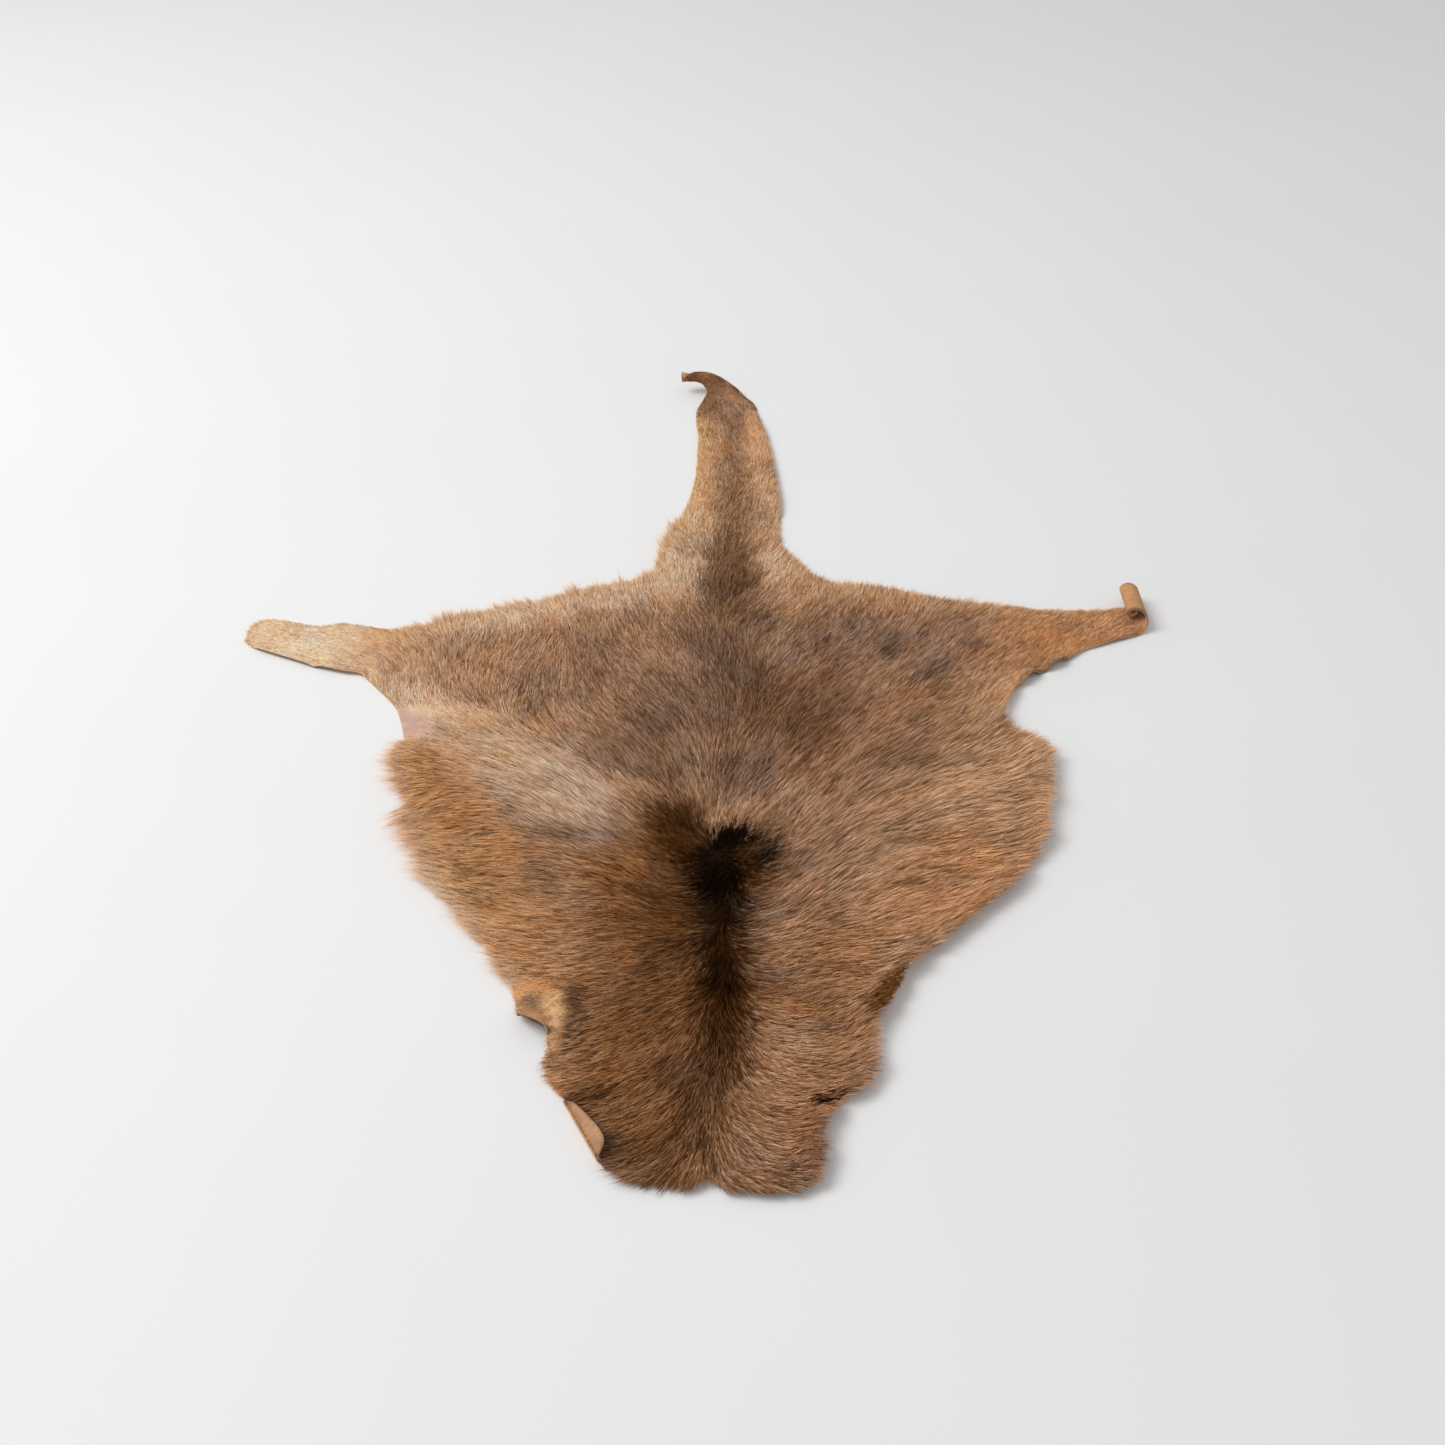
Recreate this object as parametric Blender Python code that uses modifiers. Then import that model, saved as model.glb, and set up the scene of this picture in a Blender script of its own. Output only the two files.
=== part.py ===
"""Kangaroo hide rug: one tanned skin with its fur, laid flat with the fur up.

The tail runs to +Y, the neck edge faces -Y, and the hind legs run to -X and +X. The skin is drawn flat
as an outline and cut into a net of points. The net is bent where the real skin is rolled, curled or
turned up, and is then given the height of its pile. The right foot is rolled into a scroll, the tail tip
is curled into a small horn, and the left side of the neck is turned up and over. All sizes are in metres.
"""

import math
import random
from collections import namedtuple

import bmesh
import bpy
import numpy as np
from mathutils import Vector, noise
from mathutils.geometry import delaunay_2d_cdt

# Driving sizes
SKIN = 0.0022
TALLEST_PILE = 0.016
NET_PITCH = 0.0145
RIM_PITCH = 0.0130
FINE_PITCH = 0.0075
SEED = 7

# The slab thins towards the rim over the taper, down to a share of its height
RIM_TAPER = 0.024
RIM_SHARE = 0.34

# Lumps of fur: how far they change the height of the pile, how many there are to each radian about the
# whorl and to each metre away from it, and how much finer the second set is
LUMP_SHARE = 0.60
LUMPS_AROUND = 9.0
LUMPS_OUTWARD = 14.0
LUMP_DETAIL = 2.3

# How near the net may come to the rim and to its finer parts, in steps of its own
RIM_MARGIN = 0.45
FINE_MARGIN = 0.62
ROW_STEP = math.sqrt(3.0) / 2.0

# The hair parts at the whorl and runs away from it on all sides
WHORL = Vector((0.020, -0.249))

# Body sections from the neck corner to the groin: place along the hide, left edge, right edge
BodySection = namedtuple("BodySection", "y left right")
BODY_SECTIONS = (
    BodySection(-0.560, -0.113, 0.145),
    BodySection(-0.535, -0.122, 0.153),
    BodySection(-0.516, -0.120, 0.154),
    BodySection(-0.505, -0.126, 0.155),
    BodySection(-0.495, -0.145, 0.159),
    BodySection(-0.467, -0.153, 0.174),
    BodySection(-0.440, -0.165, 0.188),
    BodySection(-0.420, -0.179, 0.208),
    BodySection(-0.400, -0.194, 0.230),
    BodySection(-0.370, -0.214, 0.262),
    BodySection(-0.340, -0.240, 0.292),
    BodySection(-0.305, -0.254, 0.315),
    BodySection(-0.280, -0.264, 0.331),
    BodySection(-0.250, -0.279, 0.336),
    BodySection(-0.220, -0.286, 0.344),
    BodySection(-0.190, -0.297, 0.352),
    BodySection(-0.158, -0.307, 0.354),
    BodySection(-0.136, -0.300, 0.345),
    BodySection(-0.118, -0.303, 0.326),
    BodySection(-0.100, -0.308, 0.319),
)

# Hind legs, root to tip: place across the hide, near edge, far edge
LegSection = namedtuple("LegSection", "x near far")
LEFT_LEG = (
    LegSection(-0.317, -0.078, 0.061),
    LegSection(-0.338, -0.051, 0.056),
    LegSection(-0.361, -0.026, 0.060),
    LegSection(-0.380, -0.022, 0.065),
    LegSection(-0.400, -0.016, 0.068),
    LegSection(-0.420, -0.009, 0.063),
    LegSection(-0.440, 0.000, 0.066),
    LegSection(-0.465, 0.011, 0.073),
    LegSection(-0.486, 0.021, 0.075),
    LegSection(-0.500, 0.035, 0.060),
)
# The last four sections are rolled up, so they stand here where the skin would reach if it lay flat
RIGHT_LEG = (
    LegSection(0.322, -0.086, 0.102),
    LegSection(0.334, -0.058, 0.100),
    LegSection(0.350, -0.034, 0.099),
    LegSection(0.384, -0.011, 0.093),
    LegSection(0.402, 0.003, 0.092),
    LegSection(0.420, 0.018, 0.091),
    LegSection(0.440, 0.027, 0.091),
    LegSection(0.465, 0.038, 0.093),
    LegSection(0.484, 0.046, 0.098),
    LegSection(0.508, 0.058, 0.110),
    LegSection(0.533, 0.068, 0.116),
    LegSection(0.558, 0.074, 0.114),
)

# Edge points between the named sections: across the hide, along it
EdgePoint = namedtuple("EdgePoint", "x y")
NECK_EDGE = (
    EdgePoint(-0.058, -0.640),
    EdgePoint(-0.040, -0.651),
    EdgePoint(-0.013, -0.655),
    EdgePoint(0.006, -0.653),
    EdgePoint(0.015, -0.646),
    EdgePoint(0.026, -0.655),
    EdgePoint(0.045, -0.658),
    EdgePoint(0.080, -0.657),
    EdgePoint(0.098, -0.650),
    EdgePoint(0.1045, -0.626),
    EdgePoint(0.109, -0.602),
    EdgePoint(0.123, -0.580),
)
RIGHT_RUMP = (
    EdgePoint(0.286, 0.109),
    EdgePoint(0.240, 0.124),
    EdgePoint(0.210, 0.134),
    EdgePoint(0.183, 0.141),
    EdgePoint(0.151, 0.144),
)
LEFT_RUMP = (
    EdgePoint(-0.085, 0.146),
    EdgePoint(-0.125, 0.134),
    EdgePoint(-0.155, 0.122),
    EdgePoint(-0.185, 0.109),
    EdgePoint(-0.215, 0.100),
    EdgePoint(-0.248, 0.088),
    EdgePoint(-0.280, 0.078),
    EdgePoint(-0.302, 0.066),
)

# Tail sections from the rump to where the tip starts to curl
TailSection = namedtuple("TailSection", "y left right")
TAIL_SECTIONS = (
    TailSection(0.161, -0.060, 0.129),
    TailSection(0.187, -0.053, 0.115),
    TailSection(0.215, -0.050, 0.099),
    TailSection(0.250, -0.041, 0.094),
    TailSection(0.285, -0.027, 0.096),
    TailSection(0.320, -0.017, 0.096),
    TailSection(0.370, -0.010, 0.093),
    TailSection(0.420, -0.008, 0.089),
    TailSection(0.470, -0.007, 0.083),
    TailSection(0.515, -0.010, 0.075),
    TailSection(0.550, -0.010, 0.071),
)

# Tail tip: way along the tail, flat width, radius of the curl across, height of its crown,
# heading to the left of +Y in degrees, and turn of the open seam about the tail in degrees
TipSection = namedtuple("TipSection", "along width radius crown heading twist")
TAIL_TIP = (
    TipSection(0.000, 0.081, 0.235, 0.0035, 3.0, 0.0),
    TipSection(0.022, 0.067, 0.065, 0.0100, 9.0, 0.0),
    TipSection(0.042, 0.054, 0.027, 0.0175, 28.0, 5.0),
    TipSection(0.059, 0.040, 0.0125, 0.0240, 62.0, 20.0),
    TipSection(0.075, 0.028, 0.0060, 0.0270, 92.0, 60.0),
    TipSection(0.090, 0.020, 0.0040, 0.0265, 90.0, 110.0),
    TipSection(0.102, 0.014, 0.0032, 0.0260, 78.0, 130.0),
)
TIP_START = TAIL_SECTIONS[-1].y
TIP_MIDDLE = (TAIL_SECTIONS[-1].left + TAIL_SECTIONS[-1].right) / 2.0
TIP_LENGTH = TAIL_TIP[-1].along
TIP_POINT = 0.001
TIP_STEPS = 17
TIP_LINE_STEPS = 60
TIP_ROWS = 8
# The arch of the tip fades out along the tail over this length
TIP_RISE = 0.060

# Scroll of the right foot: where the skin leaves the floor, outer radius there, what the radius loses
# for each radian, and how far the skin is wound, in degrees
SCROLL_START = 0.4840
SCROLL_RADIUS = 0.0140
SCROLL_TIGHTENING = 0.00118
SCROLL_TURN = 520.0
SCROLL_STEP = 22.0
SCROLL_ROWS = 6
# The pile is flattened over this length before the skin is wound
SCROLL_THINNING = 0.030

# Turned-up strip on the left of the neck: the ends of its fold line, the radius of the fold and its turn
STRIP_TOP = Vector((-0.102, -0.567))
STRIP_FOOT = Vector((-0.068, -0.629))
STRIP_CORNER = Vector((-0.066, -0.633))
STRIP_RADIUS = 0.0045
STRIP_TURN = 145.0
# The strip ends a little past its foot, and the pile ends a little before the fold line
STRIP_PAST_FOOT = 1.12
STRIP_WIDEST = 0.040
STRIP_BARE = 0.001
STRIP_NET_ROWS = (-0.006, 0.0, 0.0045, 0.009, 0.0135, 0.0185)
STRIP_NET_STEPS = 10
STRIP_NET_MARGIN = 0.0022
# How far the flat skin reaches past the fold line, by the share of its length from the top
StripReach = namedtuple("StripReach", "share reach")
STRIP_REACH = (
    StripReach(0.04, 0.002),
    StripReach(0.22, 0.012),
    StripReach(0.45, 0.0185),
    StripReach(0.68, 0.023),
    StripReach(0.86, 0.022),
    StripReach(0.97, 0.012),
)

# Where the skin stands off the floor: the two ends of a ridge line, how wide it is to each side, its height
Lift = namedtuple("Lift", "name start end width height")
LIFTS = (
    Lift("right flank rim", (0.345, -0.160), (0.333, -0.280), 0.038, 0.0100),
    Lift("right side rim", (0.305, -0.330), (0.225, -0.412), 0.034, 0.0085),
    Lift("right shoulder rim", (0.195, -0.435), (0.156, -0.495), 0.032, 0.0120),
    Lift("right shoulder bulge", (0.152, -0.530), (0.135, -0.570), 0.030, 0.0080),
    Lift("right neck rim", (0.110, -0.592), (0.098, -0.636), 0.030, 0.0110),
    Lift("neck lip", (0.036, -0.656), (0.086, -0.654), 0.020, 0.0080),
    Lift("neck notch", (0.008, -0.652), (0.012, -0.650), 0.012, 0.0040),
    Lift("right groin rim", (0.318, -0.100), (0.334, -0.060), 0.022, 0.0060),
    Lift("right leg first notch", (0.384, -0.008), (0.388, -0.004), 0.014, 0.0065),
    Lift("right leg second notch", (0.350, -0.030), (0.356, -0.026), 0.014, 0.0055),
    Lift("right leg near rim", (0.405, 0.004), (0.475, 0.042), 0.014, 0.0030),
    Lift("left leg near rim", (-0.478, 0.018), (-0.425, -0.006), 0.014, 0.0035),
    Lift("left leg root rim", (-0.405, -0.014), (-0.366, -0.028), 0.016, 0.0045),
    Lift("left leg crease", (-0.352, 0.004), (-0.338, -0.036), 0.013, 0.0035),
    Lift("armpit lip", (-0.143, -0.490), (-0.126, -0.500), 0.019, 0.0085),
    Lift("armpit ridge", (-0.108, -0.468), (-0.116, -0.510), 0.015, 0.0090),
    Lift("tail right rim", (0.094, 0.300), (0.072, 0.535), 0.020, 0.0050),
    Lift("left flank swell", (-0.240, -0.230), (-0.190, -0.300), 0.070, 0.0030),
    Lift("rump swell", (-0.060, 0.020), (0.120, 0.030), 0.085, 0.0030),
)

# Height of skin and pile: the middle of a patch, its radius, its height
Pile = namedtuple("Pile", "name x y radius height")
PILES = (
    Pile("left flank", -0.230, -0.210, 0.110, 0.0120),
    Pile("left side", -0.160, -0.370, 0.090, 0.0110),
    Pile("right flank", 0.280, -0.210, 0.110, 0.0125),
    Pile("right side", 0.190, -0.360, 0.090, 0.0115),
    Pile("whorl", 0.030, -0.300, 0.070, 0.0125),
    Pile("back", 0.020, -0.160, 0.110, 0.0080),
    Pile("shoulders", 0.015, -0.470, 0.100, 0.0105),
    Pile("neck", 0.015, -0.600, 0.090, 0.0095),
    Pile("rump", 0.030, 0.020, 0.130, 0.0080),
    Pile("left haunch", -0.230, 0.000, 0.100, 0.0068),
    Pile("right haunch", 0.260, 0.000, 0.100, 0.0070),
    Pile("left leg", -0.430, 0.030, 0.080, 0.0038),
    Pile("right leg", 0.420, 0.050, 0.070, 0.0042),
    Pile("tail root", 0.030, 0.200, 0.080, 0.0080),
    Pile("tail", 0.040, 0.400, 0.120, 0.0060),
    Pile("tail tip", 0.030, 0.590, 0.060, 0.0032),
    Pile("left groin bare patch", -0.292, -0.104, 0.026, 0.0026),
    Pile("left armpit bare patch", -0.137, -0.478, 0.025, 0.0026),
    Pile("right shoulder bare strip", 0.170, -0.462, 0.020, 0.0034),
    Pile("beside the turned-up strip", -0.080, -0.595, 0.024, 0.0036),
    Pile("neck tear", 0.108, -0.566, 0.011, 0.0034),
)

# Stretches of the rim where the cut edge shows bare, with no locks: middle and radius
BareRim = namedtuple("BareRim", "x y radius")
BARE_RIMS = (
    BareRim(0.500, 0.070, 0.070),
    BareRim(0.430, 0.022, 0.035),
    BareRim(0.370, -0.018, 0.030),
    BareRim(-0.130, -0.497, 0.022),
    BareRim(-0.095, -0.605, 0.045),
    BareRim(-0.300, -0.110, 0.022),
    BareRim(-0.350, -0.040, 0.035),
    BareRim(-0.440, -0.002, 0.050),
    BareRim(0.030, 0.610, 0.070),
)
# The share of a bare stretch's radius that has no lock at all
BARE_CORE = 0.6

# Locks: reach as a share of the pile's height, its spread, the sweep along the rim, how deep the valleys
# between them are, how far they slide along the rim, and the reach from which they slide in full
LOCK_REACH = 0.45
LOCK_SPREAD = 0.45
LOCK_SWEEP = 0.35
LOCK_VALLEY = 0.55
LOCK_SLIDE = 0.14
LOCK_LONG = 0.003

# Places where the net is drawn finer: the two ends of a line and how far around it
FineZone = namedtuple("FineZone", "start end around")
FINE_ZONES = (
    FineZone((-0.143, -0.485), (-0.112, -0.505), 0.022),
    FineZone((0.020, -0.645), (0.090, -0.645), 0.014),
    FineZone((0.350, -0.020), (0.392, 0.000), 0.014),
    FineZone((0.100, -0.568), (0.116, -0.564), 0.010),
    FineZone((-0.350, 0.000), (-0.340, -0.034), 0.012),
)


def smooth_share(value):
    """A share from 0 to 1 with soft ends."""
    value = min(max(value, 0.0), 1.0)
    return value * value * (3.0 - 2.0 * value)


def between(rows, column, key, place):
    """The value of a column at a place, on a smooth curve through the rows of a table."""
    keys = [getattr(row, key) for row in rows]
    values = [getattr(row, column) for row in rows]
    slopes = np.gradient(values, keys)
    place = min(max(place, keys[0]), keys[-1])
    low = min(max(int(np.searchsorted(keys, place)) - 1, 0), len(keys) - 2)
    step = keys[low + 1] - keys[low]
    t = (place - keys[low]) / step
    start = values[low] * (1.0 + 2.0 * t) * (1.0 - t) ** 2 + slopes[low] * step * t * (1.0 - t) ** 2
    end = values[low + 1] * t**2 * (3.0 - 2.0 * t) - slopes[low + 1] * step * t**2 * (1.0 - t)
    return float(start + end)


def from_line(point, start, end):
    """The distance of a point from the line between two ends."""
    start, end = Vector(start), Vector(end)
    span = end - start
    share = min(max((point - start).dot(span) / span.length_squared, 0.0), 1.0)
    return (point - start - span * share).length


def curve_through(points, step):
    """Points about a step apart on a smooth open curve through the given ones."""
    ends = [points[0] * 2 - points[1], *points, points[-1] * 2 - points[-2]]
    drawn = []
    for before, low, high, after in zip(ends, ends[1:], ends[2:], ends[3:]):
        count = max(1, round((high - low).length / step))
        for index in range(count):
            t = index / count
            drawn.append(
                (
                    low * 2
                    + (high - before) * t
                    + (before * 2 - low * 5 + high * 4 - after) * t**2
                    + (low * 3 - before - high * 3 + after) * t**3
                )
                / 2
            )
    drawn.append(points[-1].copy())
    return drawn


def strip_frame():
    """The direction along the fold line of the turned-up strip, the one out of the hide, and its length."""
    span = STRIP_FOOT - STRIP_TOP
    along = span.normalized()
    return along, Vector((along.y, -along.x)), span.length


def strip_place(point):
    """How far a flat point is past the strip's fold line, and at which share of the line's length."""
    along, outward, length = strip_frame()
    away = point - STRIP_TOP
    return away.dot(outward), away.dot(along) / length


def strip_edge():
    """The flat outline of the turned-up strip, from its top to its foot."""
    along, outward, length = strip_frame()
    points = [STRIP_TOP + along * (row.share * length) + outward * row.reach for row in STRIP_REACH]
    return curve_through(points, FINE_PITCH)


def scroll_angle(beyond):
    """The angle to which the scroll is wound after so much skin past its start."""
    root = SCROLL_RADIUS**2 - 2.0 * SCROLL_TIGHTENING * beyond
    return (SCROLL_RADIUS - math.sqrt(max(root, 0.0))) / SCROLL_TIGHTENING


def scroll_length(angle):
    """How much skin is wound up to an angle."""
    return SCROLL_RADIUS * angle - SCROLL_TIGHTENING * angle**2 / 2.0


def scroll_columns():
    """Where the scroll's skin is folded in its net, counted across the flat hide."""
    count = round(SCROLL_TURN / SCROLL_STEP)
    turn = math.radians(SCROLL_TURN)
    return [SCROLL_START + scroll_length(turn * index / count) for index in range(count + 1)]


def tip_row(share):
    """The tail tip's measures at a share of its length."""
    place = share * TIP_LENGTH
    values = {name: between(TAIL_TIP, name, "along", place) for name in TipSection._fields}
    return TipSection(**values)


def tip_stations():
    """The flat tail tip as rows of its near and far end: way along the hide and half of its width."""
    return [
        (TIP_START + tip_row(index / TIP_STEPS).along, tip_row(index / TIP_STEPS).width / 2.0)
        for index in range(TIP_STEPS + 1)
    ]


def flat_outline():
    """The rim of the flat skin, counter-clockwise from the foot of the turned-up strip."""
    columns = scroll_columns()
    neck = [STRIP_CORNER, *(Vector((p.x, p.y)) for p in NECK_EDGE)]
    right = [Vector((row.right, row.y)) for row in BODY_SECTIONS]
    near = [Vector((row.x, row.near)) for row in RIGHT_LEG if row.x < SCROLL_START]
    rim = curve_through([*neck, *right, *near], RIM_PITCH)
    rim += [Vector((x, between(RIGHT_LEG, "near", "x", x))) for x in columns]
    rim += [Vector((x, between(RIGHT_LEG, "far", "x", x))) for x in reversed(columns)]
    far = [Vector((row.x, row.far)) for row in reversed(RIGHT_LEG) if row.x < SCROLL_START]
    rump = [Vector((p.x, p.y)) for p in RIGHT_RUMP]
    tail = [Vector((row.right, row.y)) for row in TAIL_SECTIONS[:-1]]
    rim += curve_through([*far, *rump, *tail], RIM_PITCH)
    stations = tip_stations()
    rim += [Vector((TIP_MIDDLE + half, y)) for y, half in stations]
    rim += [Vector((TIP_MIDDLE, stations[-1][0] + TIP_POINT))]
    rim += [Vector((TIP_MIDDLE - half, y)) for y, half in reversed(stations)]
    tail = [Vector((row.left, row.y)) for row in reversed(TAIL_SECTIONS[:-1])]
    rump = [Vector((p.x, p.y)) for p in LEFT_RUMP]
    far = [Vector((row.x, row.far)) for row in LEFT_LEG]
    near = [Vector((row.x, row.near)) for row in reversed(LEFT_LEG)]
    left = [Vector((row.left, row.y)) for row in reversed(BODY_SECTIONS)]
    rim += curve_through([*tail, *rump, *far, *near, *left], RIM_PITCH)
    return rim + strip_edge()


def pile_height(point):
    """The height of skin and pile at a point of the flat hide, before the rim thins it."""
    total, weights = 0.0, 1e-6
    for pile in PILES:
        weight = math.exp(-(((point - Vector((pile.x, pile.y))).length / pile.radius) ** 2))
        share = weight * weight / pile.radius
        total += pile.height * share
        weights += share
    return total / weights


def lock_length(point):
    """How long the locks at the rim are at a point, 0 where the cut edge is bare."""
    bare = min(
        smooth_share((point - Vector((row.x, row.y))).length / row.radius - BARE_CORE)
        for row in BARE_RIMS
    )
    return LOCK_REACH * max(pile_height(point) - SKIN, 0.0) * bare


def locked(rim):
    """The rim with a lock of fur at every second point, swept the way the hair runs."""
    rng = random.Random(SEED)
    locks = []
    for index, point in enumerate(rim):
        ahead = rim[(index + 1) % len(rim)] - rim[index - 1]
        outward = Vector((ahead.y, -ahead.x)).normalized()
        sweep = ahead.normalized() * (point - WHORL).normalized().dot(ahead.normalized())
        reach = lock_length(point) * rng.uniform(1.0 - LOCK_SPREAD, 1.0 + LOCK_SPREAD)
        slide = ahead * rng.uniform(-LOCK_SLIDE, LOCK_SLIDE) * min(reach / LOCK_LONG, 1.0)
        if index % 2:
            locks.append(point + slide - outward * reach * LOCK_VALLEY)
        else:
            locks.append(point + slide + outward * reach + sweep * reach * LOCK_SWEEP)
    return locks


def inside(rim, places, margin):
    """Which places lie inside the rim and further from it than the margin."""
    corners = np.array([tuple(p) for p in rim])
    following = np.roll(corners, -1, axis=0)
    kept = []
    for place in places:
        x, y = place
        crossing = (corners[:, 1] > y) != (following[:, 1] > y)
        slope = (following[crossing] - corners[crossing]).T
        meets = corners[crossing][:, 0] + (y - corners[crossing][:, 1]) * slope[0] / slope[1]
        if np.count_nonzero(meets > x) % 2 == 0:
            continue
        span = following - corners
        share = ((place - corners) * span).sum(axis=1) / (span**2).sum(axis=1)
        nearest = corners + span * np.clip(share, 0.0, 1.0)[:, None]
        if np.hypot(*(place - nearest).T).min() > margin:
            kept.append(Vector(place))
    return kept


def hexagon_net(low, high, pitch):
    """Points of a hexagonal net over a rectangle."""
    rows = math.ceil((high[1] - low[1]) / (pitch * ROW_STEP))
    columns = math.ceil((high[0] - low[0]) / pitch)
    return [
        np.array((low[0] + (column + 0.5 * (row % 2)) * pitch, low[1] + row * pitch * ROW_STEP))
        for row in range(rows + 1)
        for column in range(columns + 1)
    ]


def scroll_net():
    """Inner points of the skin that is wound into the scroll."""
    points = []
    for x in scroll_columns()[:-1]:
        near = between(RIGHT_LEG, "near", "x", x)
        step = (between(RIGHT_LEG, "far", "x", x) - near) / SCROLL_ROWS
        points += [Vector((x, near + step * row)) for row in range(1, SCROLL_ROWS)]
    return points


def tip_net():
    """Inner points of the curled tail tip."""
    return [
        Vector((TIP_MIDDLE + half * (2.0 * row / TIP_ROWS - 1.0), y))
        for y, half in tip_stations()[:-1]
        for row in range(1, TIP_ROWS)
    ]


def strip_net(rim):
    """Points on and around the turned-up strip, in rows along its fold line."""
    along, outward, length = strip_frame()
    pitch = length / STRIP_NET_STEPS
    places = [
        np.array(STRIP_TOP + along * (pitch * (step + 0.5)) + outward * row)
        for row in STRIP_NET_ROWS
        for step in range(STRIP_NET_STEPS)
    ]
    return inside(rim, places, STRIP_NET_MARGIN)


def fine_net(rim):
    """Points of the finer net in its zones."""
    points = []
    for zone in FINE_ZONES:
        low = [min(zone.start[i], zone.end[i]) - zone.around for i in (0, 1)]
        high = [max(zone.start[i], zone.end[i]) + zone.around for i in (0, 1)]
        near = [
            place
            for place in hexagon_net(low, high, FINE_PITCH)
            if from_line(Vector(place), zone.start, zone.end) < zone.around
        ]
        points += inside(rim, near, FINE_PITCH * RIM_MARGIN)
    return points


def net_points(rim):
    """All inner points of the net: fine where the skin is bent, and wide elsewhere."""
    fine = strip_net(rim) + fine_net(rim) + scroll_net() + tip_net()
    taken = np.array([tuple(p) for p in fine])
    low = [min(p[i] for p in rim) for i in (0, 1)]
    high = [max(p[i] for p in rim) for i in (0, 1)]
    wide = [
        p
        for p in inside(rim, hexagon_net(low, high, NET_PITCH), NET_PITCH * RIM_MARGIN)
        if p.x < SCROLL_START - FINE_PITCH / 2.0
        and p.y < TIP_START - FINE_PITCH
        and np.hypot(*(taken - np.array(p)).T).min() > NET_PITCH * FINE_MARGIN
    ]
    return fine + wide


def lift_height(point):
    """How far the skin stands off the floor at a point of the flat hide."""
    total = 0.0
    for lift in LIFTS:
        share = 1.0 - from_line(point, lift.start, lift.end) / lift.width
        total = max(total, lift.height * smooth_share(share))
    return total


def on_scroll(point):
    """The place of a flat point that is wound into the scroll, with the fur side inwards."""
    angle = scroll_angle(point.x - SCROLL_START)
    radius = SCROLL_RADIUS - SCROLL_TIGHTENING * angle
    return Vector(
        (
            SCROLL_START + radius * math.sin(angle),
            point.y,
            SCROLL_RADIUS - radius * math.cos(angle),
        )
    )


def on_strip(point, beyond, outward):
    """The place of a flat point past the fold line of the turned-up strip."""
    turn = math.radians(STRIP_TURN)
    angle = min(beyond / STRIP_RADIUS, turn)
    straight = max(beyond - STRIP_RADIUS * turn, 0.0)
    out = STRIP_RADIUS * math.sin(angle) + straight * math.cos(turn)
    foot = point - outward * beyond
    height = STRIP_RADIUS * (1.0 - math.cos(angle)) + straight * math.sin(turn)
    return Vector((*(foot + outward * out), height))


def tip_line():
    """Points and headings along the middle of the curled tail tip, one for each short step."""
    place, line = Vector((TIP_MIDDLE, TIP_START)), []
    for index in range(TIP_LINE_STEPS + 1):
        heading = math.radians(tip_row(index / TIP_LINE_STEPS).heading)
        forward = Vector((-math.sin(heading), math.cos(heading)))
        line.append((place.copy(), forward))
        place += forward * TIP_LENGTH / TIP_LINE_STEPS
    return line


def on_tip(point, line):
    """The place of a flat point of the tail tip, which curls across and turns to the left."""
    share = min(max((point.y - TIP_START) / TIP_LENGTH, 0.0), 1.0)
    row = tip_row(share)
    middle, forward = line[round(share * (len(line) - 1))]
    right = Vector((forward.y, -forward.x))
    angle = (point.x - TIP_MIDDLE) / row.radius - math.radians(row.twist)
    spot = middle + right * (row.radius * math.sin(angle))
    return Vector((spot.x, spot.y, row.crown - row.radius * (1.0 - math.cos(angle))))


def in_place(point, line):
    """The place of a flat point's underside on the real hide."""
    beyond, share = strip_place(point)
    if 0.0 < beyond < STRIP_WIDEST and 0.0 < share < STRIP_PAST_FOOT:
        _, outward, _ = strip_frame()
        return on_strip(point, beyond, outward)
    if point.x > SCROLL_START:
        return on_scroll(point)
    if point.y >= TIP_START:
        return on_tip(point, line)
    blend = max(1.0 + (point.y - TIP_START) / TIP_RISE, 0.0) ** 2
    arch = TAIL_TIP[0].crown - (point.x - TIP_MIDDLE) ** 2 / (2.0 * TAIL_TIP[0].radius)
    height = lift_height(point) * (1.0 - blend) + max(arch, 0.0) * blend
    return Vector((point.x, point.y, height))


def slab_height(point, from_rim):
    """The height of the slab over its underside at a flat point: less at the rim, uneven along the hair."""
    beyond, share = strip_place(point)
    if -STRIP_BARE < beyond < STRIP_WIDEST and 0.0 < share < STRIP_PAST_FOOT:
        return SKIN
    away = point - WHORL
    streak = Vector((math.atan2(away.x, away.y) * LUMPS_AROUND, away.length * LUMPS_OUTWARD, 0.0))
    lump = (noise.noise(streak) + noise.noise(streak * LUMP_DETAIL) / 2.0) * LUMP_SHARE
    full = SKIN + (pile_height(point) - SKIN) * (1.0 + lump)
    thin = RIM_SHARE + (1.0 - RIM_SHARE) * smooth_share(from_rim / RIM_TAPER)
    unrolled = smooth_share((SCROLL_START - point.x) / SCROLL_THINNING)
    return SKIN + max(full * thin - SKIN, 0.0) * unrolled


def rim_distances(rim, points):
    """How far each point is from the rim."""
    corners = np.array([tuple(p) for p in rim])
    span = np.roll(corners, -1, axis=0) - corners
    lengths = (span**2).sum(axis=1)
    distances = []
    for point in points:
        share = np.clip(((np.array(point) - corners) * span).sum(axis=1) / lengths, 0.0, 1.0)
        distances.append(float(np.hypot(*(np.array(point) - corners - span * share[:, None]).T).min()))
    return distances


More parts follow.
